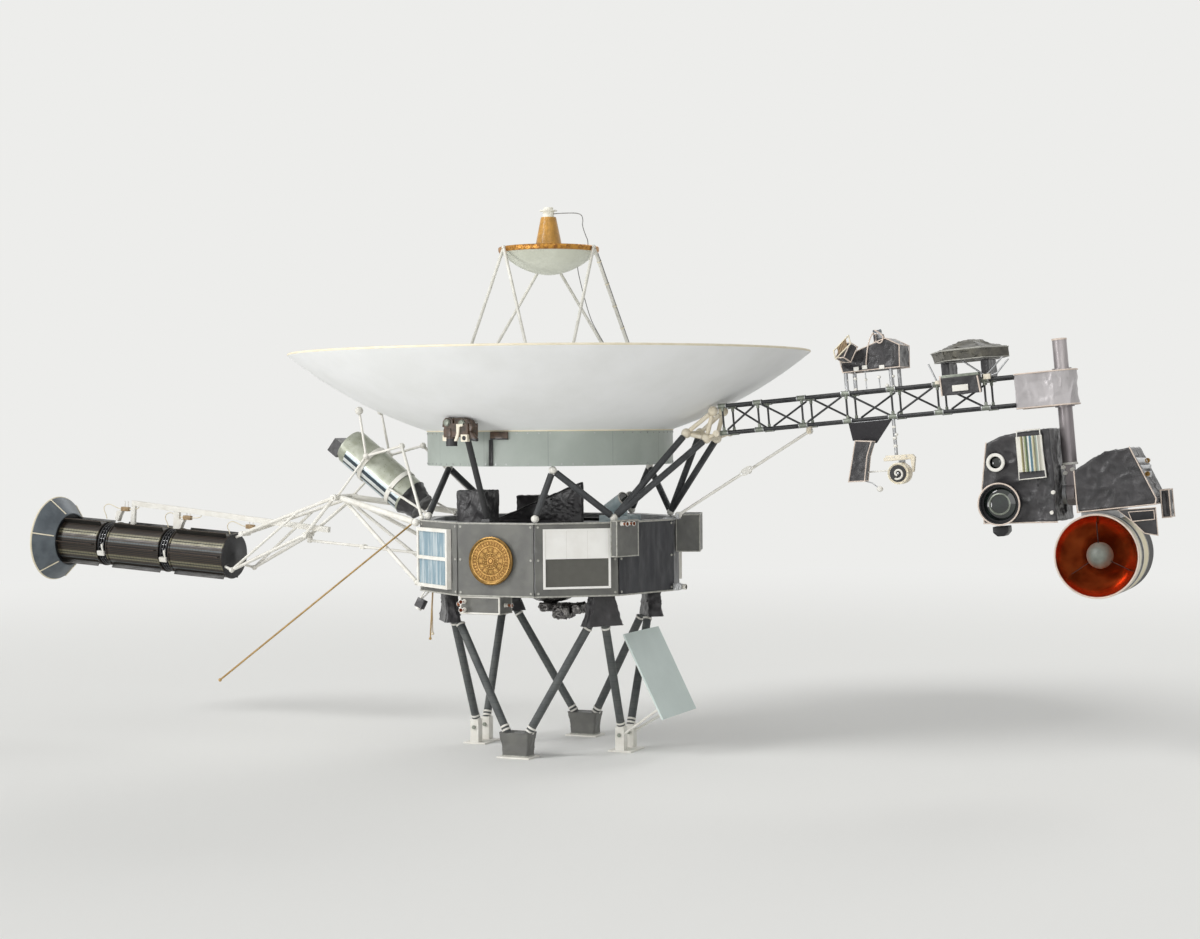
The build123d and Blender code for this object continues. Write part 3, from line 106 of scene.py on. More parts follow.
def connect(tree, node, inputs):
    # an input is a value, a socket, or a node whose first live output is meant
    for name, value in inputs.items():
        if isinstance(value, bpy.types.Node):
            value = next(out for out in value.outputs if out.enabled)
        if isinstance(value, bpy.types.NodeSocket):
            tree.links.new(value, node.inputs[name])
        else:
            node.inputs[name].default_value = value


def addNode(tree, kind, inputs=None, **settings):
    # one node with its settings and inputs; a kind without "Node" in it is a shader node
    node = tree.nodes.new(kind if "Node" in kind else "ShaderNode" + kind)
    for name, value in settings.items():
        setattr(node, name, value)
    connect(tree, node, inputs or {})
    return node


def backdropRays(tree):
    # 1 for what the camera sees straight, in a reflection or through glass
    rays = addNode(tree, "LightPath").outputs
    seen = addNode(tree, "Math", {0: rays["Is Camera Ray"], 1: rays["Is Glossy Ray"]}, operation="ADD")
    return addNode(tree, "Math", {0: seen, 1: rays["Is Transmission Ray"]}, operation="ADD", use_clamp=True)


def newMaterial(name):
    # a new material, its tree and its shader
    material = bpy.data.materials.new(name)
    material.use_nodes = True
    return material, material.node_tree, material.node_tree.nodes["Principled BSDF"]


def aimed(way):
    # turns a lamp to shine along a direction
    return way.to_track_quat("-Z", "Y").to_matrix().to_4x4()


studio = {
    "floor": "#ebebe8",
    "backdrop": "#ededeb",
    "fade": (6.0, 19.0),  # m from the probe over which the floor turns into the backdrop
    "world": 0.46,
    "suns": {  # where each shines from, strength, softness in degrees
        "keySun": ((-0.52, -0.66, 0.62), 1.55, 24),
        "fillSun": ((0.45, -0.88, 0.14), 0.52, 45),
        "rimSun": ((0.15, 0.80, 0.58), 0.50, 30),
    },
    "lowLamp": ((-4.5, -9.5, 0.9), 4.0, 50.0, 50),  # place, size, power, spread: lights the dish from below
    "dishHeight": 3.4,  # m, where the low lamp looks
}
scene.world = world = bpy.data.worlds.new("studio")
world.use_nodes = True
tree = world.node_tree
tree.nodes.clear()
plain = addNode(tree, "Background", {"Color": hexColour("#ffffff"), "Strength": studio["world"]})
shown = addNode(tree, "Background", {"Color": hexColour(studio["backdrop"]), "Strength": 1.0})
both = addNode(tree, "MixShader", {0: backdropRays(tree), 1: plain, 2: shown})
addNode(tree, "OutputWorld", {"Surface": both})

for name, (place, strength, softness) in studio["suns"].items():
    lamp = bpy.data.lights.new(name, "SUN")
    lamp.energy, lamp.angle = strength, radians(softness)
    addObject(name, lamp, Matrix.Translation(Vector(place) * 12) @ aimed(-Vector(place)))
place, size, power, spread = studio["lowLamp"]
lamp = bpy.data.lights.new("lowLamp", "AREA")
lamp.shape, lamp.size, lamp.energy, lamp.spread = "DISK", size, power, radians(spread)
aim = Vector((0, 0, studio["dishHeight"])) - Vector(place)
addObject("lowLamp", lamp, Matrix.Translation(place) @ aimed(aim))

# The floor keeps the shadow near the probe and turns into the backdrop further out
paper, tree, shader = newMaterial("paperFloor")
connect(tree, shader, {"Base Color": hexColour(studio["floor"]), "Roughness": 0.9})
coords = addNode(tree, "TexCoord").outputs["Object"]
reach = addNode(tree, "VectorMath", {0: coords}, operation="LENGTH")
start, end = studio["fade"]
fade = addNode(tree, "MapRange", {"Value": reach, "From Min": start, "From Max": end}, interpolation_type="SMOOTHSTEP")
share = addNode(tree, "Math", {0: fade, 1: backdropRays(tree)}, operation="MULTIPLY")
glow = addNode(tree, "Emission", {"Color": hexColour(studio["backdrop"]), "Strength": 1.0})
mixed = addNode(tree, "MixShader", {0: share, 1: shader, 2: glow})
connect(tree, tree.nodes["Material Output"], {"Surface": mixed})
floorMesh = bpy.data.meshes.new("floor")
floorMesh.from_pydata([(x, y, -0.001) for x, y in ((-90, -90), (90, -90), (90, 90), (-90, 90))], [], [(0, 1, 2, 3)])
floorMesh.materials.append(paper)
addObject("floor", floorMesh)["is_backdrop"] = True
print("camera, lamps and floor set")


def makeFinish(name, base, second, patch, rough, grain, depth, metallic=0.0, coat=0.0, sheen=0.0,
               swell=0.0,  # mm, depth of a slow waviness as large as the patches
               spread=(0.38, 0.62),  # noise range over which the two colours mix
               stretch=(1, 1, 1)):  # draws grain and patches out along an axis where it is small
    # two colours in patches of some mm, roughness from and to, a grain of some mm and its depth in mm
    material, tree, shader = newMaterial(name)
    coords = addNode(tree, "TexCoord").outputs["Object"]
    mapped = addNode(tree, "Mapping", {"Vector": coords, "Scale": stretch})
    patches = addNode(tree, "TexNoise", {"Vector": mapped, "Scale": 1 / (patch * mm), "Detail": 4.0, "Roughness": 0.55})
    mask = addNode(tree, "MapRange", {"Value": patches, "From Min": spread[0], "From Max": spread[1]})
    colour = addNode(tree, "Mix", {"Factor": mask, 6: hexColour(base), 7: hexColour(second)}, data_type="RGBA")
    fine = addNode(tree, "TexNoise", {"Vector": mapped, "Scale": 1 / (grain * mm), "Detail": 3.0})
    gloss = addNode(tree, "MapRange",
                    {"Value": fine, "From Min": 0.3, "From Max": 0.7, "To Min": rough[0], "To Max": rough[1]})
    bump = addNode(tree, "Bump", {"Height": fine, "Strength": 1.0, "Distance": depth * mm})
    if swell:
        bump = addNode(tree, "Bump", {"Height": patches, "Strength": 1.0, "Distance": swell * mm, "Normal": bump})
    connect(tree, shader, {"Base Color": colour, "Roughness": gloss, "Normal": bump,
                           "Metallic": metallic, "Coat Weight": coat, "Sheen Weight": sheen})
    return material


def paintOver(material, mask, code, rough=None):
    # one more colour over a finish where the mask is 1, a little uneven like a coat of paint
    tree = material.node_tree
    shader = tree.nodes["Principled BSDF"]
    coords = addNode(tree, "TexCoord").outputs["Object"]
    uneven = addNode(tree, "TexNoise", {"Vector": coords, "Scale": 1 / (45 * mm), "Detail": 4.0})
    thin, thick = ([min(1.0, c * share) for c in hexColour(code)[:3]] + [1.0] for share in (0.78, 1.12))
    coat = addNode(tree, "Mix", {"Factor": uneven, 6: thin, 7: thick}, data_type="RGBA")
    below = shader.inputs["Base Color"].links[0].from_socket
    mixed = addNode(tree, "Mix", {"Factor": mask, 6: below, 7: coat}, data_type="RGBA")
    connect(tree, shader, {"Base Color": mixed})
    if rough is not None:
        below = shader.inputs["Roughness"].links[0].from_socket
        gloss = addNode(tree, "Mix", {"Factor": mask, 2: below, 3: rough}, data_type="FLOAT")
        connect(tree, shader, {"Roughness": gloss})


def paintZone(material, code, place=(0, 0, 0), turn=(0, 0, 0), zone=None, stripes=None, rough=None, strength=1.0):
    # paints inside a zone of the piece's own axes, x, y, z, reach from the z axis in mm or round it in
    # milliradians, and on stripes of (axis, pitch, share, shift) inside that zone
    tree = material.node_tree
    coords = addNode(tree, "TexCoord").outputs["Object"]
    own = addNode(tree, "Mapping", {"Vector": coords, "Location": Vector(place) * mm, "Rotation": turn},
                  vector_type="TEXTURE")
    x, y, z = addNode(tree, "SeparateXYZ", {0: own}).outputs
    level = addNode(tree, "VectorMath", {0: own, 1: (1, 1, 0)}, operation="MULTIPLY")
    values = {
        "x": x, "y": y, "z": z,
        "reach": addNode(tree, "VectorMath", {0: level}, operation="LENGTH"),
        "round": addNode(tree, "Math", {0: y, 1: x}, operation="ARCTAN2"),
    }
    masks = []
    for axis, (low, high) in (zone or {}).items():
        inside = {0: values[axis], 1: (low + high) / 2 * mm, 2: (high - low) / 2 * mm}
        masks.append(addNode(tree, "Math", inside, operation="COMPARE"))
    if stripes:
        axis, pitch, width, shift = stripes
        scaled = addNode(tree, "Math", {0: values[axis], 1: 1 / (pitch * mm), 2: shift}, operation="MULTIPLY_ADD")
        wave = addNode(tree, "Math", {0: scaled, 1: 0.5}, operation="PINGPONG")
        masks.append(addNode(tree, "MapRange", {"Value": wave, "From Min": width / 2, "From Max": width * 0.44}))
    if strength < 1:
        masks.append(strength)
    mask = masks[0]
    for other in masks[1:]:
        mask = addNode(tree, "Math", {0: mask, 1: other}, operation="MULTIPLY")
    paintOver(material, mask, code, rough)


# white thermal paint rolled on a honeycomb dish: even and matt, faintly mottled
dishPaint = makeFinish("whiteThermalPaint", "#eceded", "#e6e7e6", 420, (0.5, 0.6), 9, 0.12)
# cream sealant where skins are turned over an edge: slightly waxy
rimSealant = makeFinish("creamSealant", "#e8dfc8", "#e0d6bc", 90, (0.5, 0.65), 8, 0.15)
# sage-grey satin enamel on the support ring
ringEnamel = makeFinish("sageEnamel", "#a4aca5", "#9aa29b", 260, (0.38, 0.5), 8, 0.1)
paintZone(ringEnamel, "#868e87", stripes=("round", 2000 * pi / 12, 0.008, 0.2), zone={"z": (1990, 2240)})
# white enamel sprayed on tubes and brackets, a little chalky
whiteEnamel = makeFinish("whiteEnamel", "#e6e4dd", "#dcd9d0", 90, (0.4, 0.52), 9, 0.06)
# light grey enamel on the feed struts
strutEnamel = makeFinish("lightGreyEnamel", "#dcdad1", "#cbc9bf", 60, (0.4, 0.55), 4, 0.12)
# silver-grey paint on the reflector over the dish
greyPaint = makeFinish("greyReflectorPaint", "#d3d5c6", "#c9cbbb", 160, (0.4, 0.5), 6, 0.04)
# ochre polyimide film wrapped over the antenna cone, in soft folds, with a white cap above
ochreFilm = makeFinish("ochrePolyimideFilm", "#c08c36", "#a87a2c", 35, (0.28, 0.42), 5, 0.5, swell=2.5, coat=0.25)
paintZone(ochreFilm, "#ece9dc", zone={"z": (3731, 3830)}, rough=0.5)
# orange-gold film turned over the reflector's rim, crumpled and bright on its folds
goldFilm = makeFinish("goldFilm", "#c08a3a", "#8a5a28", 22, (0.25, 0.42), 7, 1.2, metallic=0.6, swell=4)
# grey glass cloth over the bus: matt, lightly creased
busCloth = makeFinish("greyGlassCloth", "#6c6c67", "#5f5f5c", 150, (0.55, 0.72), 3, 0.3, swell=3, sheen=0.2)
# black glass cloth on the instruments: a slight shine along its folds
darkCloth = makeFinish("blackGlassCloth", "#383638", "#282729", 95, (0.3, 0.48), 5, 0.35, swell=7, sheen=0.25)
# the bus's cloth made near black in the two bays on the shade side, as painted shade, with faint upright pleats
shadedPleatedCloth = makeFinish("pleatedClothInPaintedShade", "#2a2b30", "#202126", 60, (0.42, 0.6), 4, 0.4, swell=4,
                          sheen=0.15, stretch=(1, 1, 0.12))
# olive-grey cloth on the faceted sensor head
oliveCloth = makeFinish("oliveGlassCloth", "#625f54", "#47453e", 70, (0.45, 0.62), 3, 0.4, swell=4, sheen=0.2)
# dull silver film, badly crumpled, under the bus
silverFilm = makeFinish("dullSilverFilm", "#8d8a87", "#4b494a", 28, (0.22, 0.4), 9, 1.5, metallic=0.7, swell=6)
# pale edge binding sewn round the instruments' blankets
binding = makeFinish("creamEdgeBinding", "#dccdc0", "#cbbbae", 40, (0.5, 0.7), 4, 0.2, sheen=0.2)
# grey edge binding of the bus's blankets
greyBinding = makeFinish("greyEdgeBinding", "#b3b2aa", "#98978f", 25, (0.5, 0.7), 2, 0.3, sheen=0.2)
# silvery-pink aluminised cloth round the azimuth housing, its left part darker as painted shade
collarCloth = makeFinish("aluminisedCloth", "#b3afb0", "#a7a3a4", 120, (0.28, 0.42), 5, 0.25, metallic=0.3,
                         swell=6, sheen=0.3, stretch=(1, 1, 0.5))
# painted shade: the cloth darker on the left of the housing
paintZone(collarCloth, "#6d6769", (3336, 0, 2373), zone={"x": (-400, -170)}, strength=0.6)
# louvre blades: blue-white mirror with upright streaks
bladeMirror = makeFinish("blueMirror", "#8ea6b2", "#c9d4d8", 34, (0.16, 0.3), 20, 0.1, spread=(0.45, 0.62),
                         metallic=0.45, stretch=(1, 1, 0.08))
# gold-plated cover of the record
goldPlate = makeFinish("goldPlate", "#86683a", "#70562c", 40, (0.26, 0.42), 3, 0.12, metallic=0.85)
# heat-tinted copper inside the thruster bells
copperBell = makeFinish("heatTintedCopper", "#b3704c", "#93543a", 12, (0.3, 0.5), 3, 0.15, metallic=0.7)
# grey glass tape wound on the adapter's tubes, its turns showing as fine bands
legTape = makeFinish("glassTape", "#565957", "#474a4b", 90, (0.58, 0.75), 3, 0.35, sheen=0.15)
paintZone(legTape, "#3d4041", stripes=("z", 46, 0.09, 0.0), zone={"z": (0, 1115)}, strength=0.7)
# the dark tape on the dish's struts
darkTape = makeFinish("darkGlassTape", "#3c3e40", "#2e3032", 90, (0.5, 0.68), 3, 0.3, sheen=0.15)
# clear-anodised aluminium: satin grey, brushed
anodised = makeFinish("clearAnodisedAluminium", "#b9babb", "#a6a7a9", 50, (0.32, 0.48), 6, 0.08, metallic=0.75)
# the boom stands in the same metal, with the web under the boom painted near black
standMetal = makeFinish("standAluminium", "#b0b1b2", "#9b9c9e", 50, (0.32, 0.48), 6, 0.08, metallic=0.7)
hinge, boomTurn = (1300, 0, 2203), (0, radians(-4.77), 0)
paintZone(standMetal, "#2d2c2e", hinge, boomTurn, {"z": (-190, -16), "x": (900, 1222)}, rough=0.5)
# pale green-white diffusing paint on the calibration plate
targetPaint = makeFinish("paleGreenPaint", "#cdd9d5", "#c8d4d0", 260, (0.6, 0.72), 4, 0.08)
# black graphite tube of the boom
graphiteTube = makeFinish("graphiteTube", "#2b2c2e", "#1f2022", 40, (0.35, 0.5), 3, 0.15)
# grey-green anodised fittings at the boom's joints
greenFitting = makeFinish("greenAnodisedAluminium", "#8b9085", "#757a70", 30, (0.35, 0.5), 3, 0.12, metallic=0.4)
# cream primer on castings, yellowed in places
creamCasting = makeFinish("creamPrimer", "#e2dac8", "#d4c8ae", 110, (0.4, 0.55), 8, 0.15, spread=(0.4, 0.7))
# dark brown primer on the fitting under the dish; its strut is taped black, and the same near black covers the upright
# strip down the ring
brownPrimer = makeFinish("brownPrimer", "#5a4638", "#33291f", 45, (0.4, 0.6), 5, 0.5, coat=0.1)
paintZone(brownPrimer, "#2b2b2c", zone={"z": (1600, 2183)}, rough=0.6)
# aluminised tape on the canister: sage above, blue-white and dark strips along its side
canisterFoil = makeFinish("aluminisedTape", "#b2b5a8", "#9da090", 70, (0.26, 0.4), 10, 0.3, metallic=0.4, swell=1.5)
canisterFoot, canisterTurn = (-1130, 0, 1755), (0, radians(-52.73), 0)
strips = ((-2000, -1780, "#3c4850"), (-1780, -1560, "#cfdbe0"), (-2250, -2000, "#e2e6e4"), (-2420, -2250, "#39434b"),
          (-2640, -2420, "#c4d2d8"), (-3141, -2640, "#8f9384"), (1700, 2100, "#46515a"), (2300, 2600, "#cdd8dc"))
for low, high, code in strips:
    side = {"round": (low, high), "reach": (120, 160), "z": (20, 560)}
    paintZone(canisterFoil, code, canisterFoot, canisterTurn, side)
# slate-grey paint on the end shroud's panels
slatePaint = makeFinish("slatePaint", "#5e666c", "#4f565c", 90, (0.35, 0.5), 5, 0.2, metallic=0.15)
# silver-lilac anodised column, its lower part darker as painted shade
columnAnodise = makeFinish("lilacAnodisedAluminium", "#b2acac", "#999395", 45, (0.28, 0.42), 4, 0.12,
                           metallic=0.45, stretch=(1, 1, 0.2))
# painted shade: the column darker below the azimuth housing
paintZone(columnAnodise, "#6f686b", zone={"z": (1700, 2368)}, strength=0.55)
# black anodised tubes and lens barrels
blackAnodise = makeFinish("blackAnodisedAluminium", "#232326", "#18181a", 30, (0.32, 0.48), 3, 0.1, metallic=0.25)
# gold-brown varnished dipole rods
dipoleVarnish = makeFinish("goldBrownVarnish", "#c2a068", "#a98850", 40, (0.32, 0.46), 4, 0.12)
# dark coated glass
opticGlass = makeFinish("coatedGlass", "#0b0d10", "#19241f", 70, (0.04, 0.1), 40, 0.01, coat=1.0)
# pale blue-white lacquer on the star trackers
trackerLacquer = makeFinish("paleBlueLacquer", "#cfdcde", "#b3c6ca", 60, (0.3, 0.45), 5, 0.1)
# grey insulated wire
wireSleeve = makeFinish("greyWireSleeve", "#8e8d8b", "#737270", 12, (0.45, 0.6), 1.5, 0.2)
# tan phenolic blocks and grilles
tanPhenolic = makeFinish("tanPhenolic", "#a68c68", "#8a7354", 25, (0.5, 0.65), 2, 0.25)

# white silicate paint on the radiator, over a dark lower plate in its pale frame
radiatorPaint = makeFinish("silicatePaint", "#efeeea", "#e6e4df", 220, (0.55, 0.68), 4, 0.08)
bayTurn = (0, 0, radians(36))
lowerPlate = {"x": (-214.5, 214.5), "z": (1191.5, 1376.8), "y": (-920, -889)}
paintZone(radiatorPaint, "#55544e", turn=bayTurn, zone=lowerPlate, rough=0.5)
paintZone(radiatorPaint, "#d2cfc6", turn=bayTurn, zone={"z": (1378, 1564)}, stripes=("x", 143, 0.016, 0.5), strength=0.8)
# radiator strips between the camera's fins: olive, pale blue and white
stripPaint = makeFinish("striatedRadiatorPaint", "#e3e1d8", "#d6d4c8", 60, (0.4, 0.55), 4, 0.1)
for zone in ((-500, -430), (-207, -180)):
    paintZone(stripPaint, "#3a393b", hinge, boomTurn, {"z": zone}, rough=0.6)
strips = ((2085, 2096, "#b2ac86"), (2108, 2123, "#97a07c"), (2123, 2131, "#a9c6cf"), (2140, 2152, "#8fb3c2"),
          (2160, 2170, "#b9b592"), (2178, 2190, "#9fb0a4"))
for low, high, code in strips:
    paintZone(stripPaint, code, hinge, boomTurn, {"x": (low, high), "z": (-430, -207)}, rough=0.4)

# the telescope's drum: copper-gold mirror inside, cream and black bands outside
copperMirror = makeFinish("goldOnNickelMirror", "#dc7038", "#a8481f", 130, (0.12, 0.22), 40, 0.05, metallic=0.9)
drumCentre, drumTurn = (3873.7, 0, 1424.3), (radians(90), 0, 0)
for low, high, code in ((-400, 400, "#232122"), (215, 302, "#dcd6c4"), (-40, 140, "#d9d0b4")):
    paintZone(copperMirror, code, drumCentre, drumTurn, {"reach": (257, 270), "z": (low, high)}, rough=0.5)
paintZone(copperMirror, "#232122", drumCentre, drumTurn, {"z": (-260, -229)}, rough=0.6)

# grey-green paint on the telescope's secondary mirror and its post
secondaryPaint = makeFinish("greyGreenPaint", "#757a72", "#666b64", 60, (0.35, 0.5), 5, 0.15)

# the generators' dark enamel: pale olive bands of painted highlight and bronze streaks run along it, crossed by a fine
# grid
generatorPaint = makeFinish("bakedDarkEnamel", "#26241f", "#191816", 55, (0.3, 0.5), 12, 0.3, metallic=0.2,
                            stretch=(0.15, 1, 1))
rtgTurn = (0, radians(-86), 0)
rtgDrop = 518  # mm from the boom's line down to the generators' axis
rtgAxis = (-1680 - rtgDrop * sin(radians(4)), 0, 1752 - rtgDrop * cos(radians(4)))
# the pale olive stripes, one on each sixth of the round, are a painted highlight
stripes = (("#85826a", ("round", 1047.2, 0.24, 0.0), 0.75), ("#5c676a", ("round", 1047.2, 0.07, 0.30), 0.8),
           ("#74563f", ("round", 87.27, 0.30, 0.0), 0.32), ("#24221f", ("z", 26, 0.16, 0.0), 0.55))
for code, bands, strength in stripes:
    paintZone(generatorPaint, code, rtgAxis, rtgTurn, stripes=bands, strength=strength)
print("materials made")


def sharpen(mesh, angle=38):
    # smooth shading with the real edges kept
    mesh.shade_smooth()
    mesh.set_sharp_from_angle(angle=radians(angle))


def addPiece(name, mesh, material, body, angle=38):
    # a mesh as a piece of the model, riding on its body
    mesh.materials.clear()
    mesh.materials.append(material)
    sharpen(mesh, angle)
    piece = addObject(name, mesh)
    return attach(piece, body)


def meshOf(name, bm):
    # closes a bmesh into a mesh with its faces outward
    bmesh.ops.remove_doubles(bm, verts=bm.verts, dist=1e-6)
    bmesh.ops.recalc_face_normals(bm, faces=bm.faces)
    mesh = bpy.data.meshes.new(name)
    bm.to_mesh(mesh)
    bm.free()
    return mesh


def bakedMesh(name, source):
    # the evaluated shape of an object as a plain mesh
    graph = bpy.context.evaluated_depsgraph_get()
    mesh = bpy.data.meshes.new_from_object(source.evaluated_get(graph))
    mesh.name = name
    bpy.data.objects.remove(source)
    return mesh


def frameAt(origin, outward, sideways=(1, 0, 0)):
    # axes on a face: x sideways, z outward, sized in mm
    z = Vector(outward).normalized()
    x = Vector(sideways)
    if abs(x.normalized().dot(z)) > 0.99:
        x = Vector((0, 1, 0))
    x = (x - z * x.dot(z)).normalized()
    return Matrix.Translation(origin) @ Matrix((x, z.cross(x), z)).transposed().to_4x4() @ Matrix.Scale(mm, 4)


def lathe(name, profile, spots, material, body, steps=48, swing=lambda angle: 0):
    # turns a closed outline of (radius, height) in mm round the axis at each spot of (place, direction)
    bm = bmesh.new()
    for origin, axis in spots:
        place = frameAt(origin, axis)
        rings = []
        for step in range(steps):
            angle = 2 * pi * step / steps
            spoke, more = Vector((cos(angle), sin(angle), 0)), swing(angle)
            rings.append([bm.verts.new(place @ (spoke * (r + more) + Vector((0, 0, h)))) for r, h in profile])
        for step in range(steps):
            near, far = rings[step], rings[(step + 1) % steps]
            for i in range(len(profile)):
                j = (i + 1) % len(profile)
                if profile[i][0] or profile[j][0]:
                    bm.faces.new((near[i], far[i], far[j], near[j]))
    bmesh.ops.remove_doubles(bm, verts=bm.verts, dist=1e-6)
    return addPiece(name, meshOf(name, bm), material, body)


def slabs(name, entries, material, body, edge=2.0):
    # plates and blocks with rounded edges: entries are (axes, outline in mm, depth in mm)
    bm = bmesh.new()
    for place, outline, depth in entries:
        one = bmesh.new()
        low = [one.verts.new((x, y, 0)) for x, y in outline]
        high = [one.verts.new((x, y, depth)) for x, y in outline]
        one.faces.new(low)
        one.faces.new(high)
        for i in range(len(outline)):
            j = (i + 1) % len(outline)
            one.faces.new((low[i], low[j], high[j], high[i]))
        bmesh.ops.recalc_face_normals(one, faces=one.faces)
        offset = min(edge, abs(depth) * 0.4)
        bmesh.ops.bevel(one, geom=one.edges[:], offset=offset, segments=2, profile=0.6, affect="EDGES")
        one.transform(place)
        part = bpy.data.meshes.new("part")
        one.to_mesh(part)
        one.free()
        bm.from_mesh(part)
        bpy.data.meshes.remove(part)
    return addPiece(name, meshOf(name, bm), material, body, 50)


def oblong(width, height, x=0, y=0):
    # corners of a rectangle about (x, y)
    return [(x + i * width / 2, y + j * height / 2) for i, j in ((-1, -1), (1, -1), (1, 1), (-1, 1))]


def beads(name, spots, radius, material, body):
    # small balls, a little flattened, each at its place in metres
    bm = bmesh.new()
    for count, spot in enumerate(spots):
        size = radius * mm * (1 + 0.12 * sin(count * 2.4))
        place = Matrix.Translation(spot) @ Matrix.Diagonal((size, size, size * 0.9, 1))
        bmesh.ops.create_icosphere(bm, subdivisions=2, radius=1.0, matrix=place)
    return addPiece(name, meshOf(name, bm), material, body, 60)


def tubes(name, runs, radius, material, body, smooth=False, sides=8, closed=False):
    # round wires and bindings of a radius in mm along lists of points in metres
    curve = bpy.data.curves.new(name, "CURVE")
    curve.dimensions, curve.bevel_depth = "3D", radius * mm
    curve.bevel_resolution, curve.use_fill_caps = max(0, sides // 4), True
    for run in runs:
        spline = curve.splines.new("NURBS" if smooth else "POLY")
        spline.points.add(len(run) - 1)
        for point, place in zip(spline.points, run):
            point.co = (*place, 1)
        spline.use_cyclic_u = closed
        if smooth:
            spline.order_u, spline.use_endpoint_u, spline.resolution_u = 3, not closed, 8
    return addPiece(name, bakedMesh(name, addObject(name, curve)), material, body, 60)


def middleOf(bm):
    # the middle of a solid's box
    return Vector((min(v.co[i] for v in bm.verts) + max(v.co[i] for v in bm.verts)) / 2 for i in range(3))


def solidsOf(node):
    # the separate solids of a CAD node, merged and with flat faces joined, left to right
    whole = bmesh.new()
    whole.from_mesh(nodes[node].data)
    bmesh.ops.remove_doubles(whole, verts=whole.verts, dist=2e-5)
    whole.verts.ensure_lookup_table()
    islands, seen = [], set()
    for first in whole.verts:
        if first.index in seen:
            continue
        island, front = [], [first]
        seen.add(first.index)
        while front:
            vert = front.pop()
            island.append(vert)
            for edge in vert.link_edges:
                other = edge.other_vert(vert)
                if other.index not in seen:
                    seen.add(other.index)
                    front.append(other)
        islands.append(island)
    solids = []
    for island in islands:
        solid = bmesh.new()
        same = {vert.index: solid.verts.new(vert.co) for vert in island}
        for face in sorted({face for vert in island for face in vert.link_faces}, key=lambda f: f.index):
            solid.faces.new([same[vert.index] for vert in face.verts])
        bmesh.ops.dissolve_limit(solid, angle_limit=radians(2), verts=solid.verts, edges=solid.edges)
        solids.append(solid)
    whole.free()
    return sorted(solids, key=lambda solid: round(middleOf(solid).x, 3))


def sharpEdges(bm, angle):
    # edges that bend by more than an angle in degrees
    return [edge for edge in bm.edges if len(edge.link_faces) == 2 and edge.calc_face_angle(0) > radians(angle)]


def bind(name, solids, radius, material, body, inward=3, keep=lambda edge: True):
    # bindings along the real edges of solids, some mm inside them
    runs = []
    for bm in solids:
        bm.normal_update()
        for edge in sharpEdges(bm, 35):
            if keep(edge):
                lean = (edge.link_faces[0].normal + edge.link_faces[1].normal).normalized() * inward * mm
                runs.append([v.co - lean for v in edge.verts])
    return tubes(name, runs, radius, material, body)


def faceToward(bm, way):
    # the flat face of a solid that looks most along a direction: its corners in order, its middle, its normal
    bm.normal_update()
    face = max(bm.faces, key=lambda f: f.normal.dot(Vector(way).normalized()) + 0.001 * f.calc_area())
    return [v.co.copy() for v in face.verts], face.calc_center_median(), face.normal.copy()


def distanceTo(place, a, b):
    # from a place to the line between two points
    along = b - a
    share = max(0.0, min(1.0, (place - a).dot(along) / max(along.length_squared, 1e-12)))
    return (a + along * share - place).length


def inOrder(bm):
    # the same mesh with its corners and faces in a fixed order, whatever order a bevel leaves
    verts = sorted(bm.verts, key=lambda v: (*(round(c, 5) for c in v.co), *v.co))
    count = {vert: i for i, vert in enumerate(verts)}
    faces = []
    for face in bm.faces:
        loop = [count[vert] for vert in face.verts]
        first = loop.index(min(loop))
        faces.append(loop[first:] + loop[:first])
    fresh = bmesh.new()
    made = [fresh.verts.new(vert.co) for vert in verts]
    for loop in sorted(faces):
        corners = [made[i] for i in loop]
        if not fresh.faces.get(corners):
            fresh.faces.new(corners)
    bm.free()
    return fresh


plainBlanket = {
    "round": 11,  # mm, radius of the edges
    "cell": 18,  # mm, mesh size
    "inset": 4,  # mm, how far the cloth lies inside the solid at its edges
    "hollow": 8,  # mm more that the middles of the faces draw in
    "reach": 70,  # mm from an edge to where the faces are fully slack
    "crease": 10,  # mm, height of the folds
    "creaseSize": 140,  # mm between folds
    "pull": (1, 1, 1),  # stretches the folds along an axis where it is small
    "fine": 1.2,  # mm, small crumples
    "seed": 1,
}


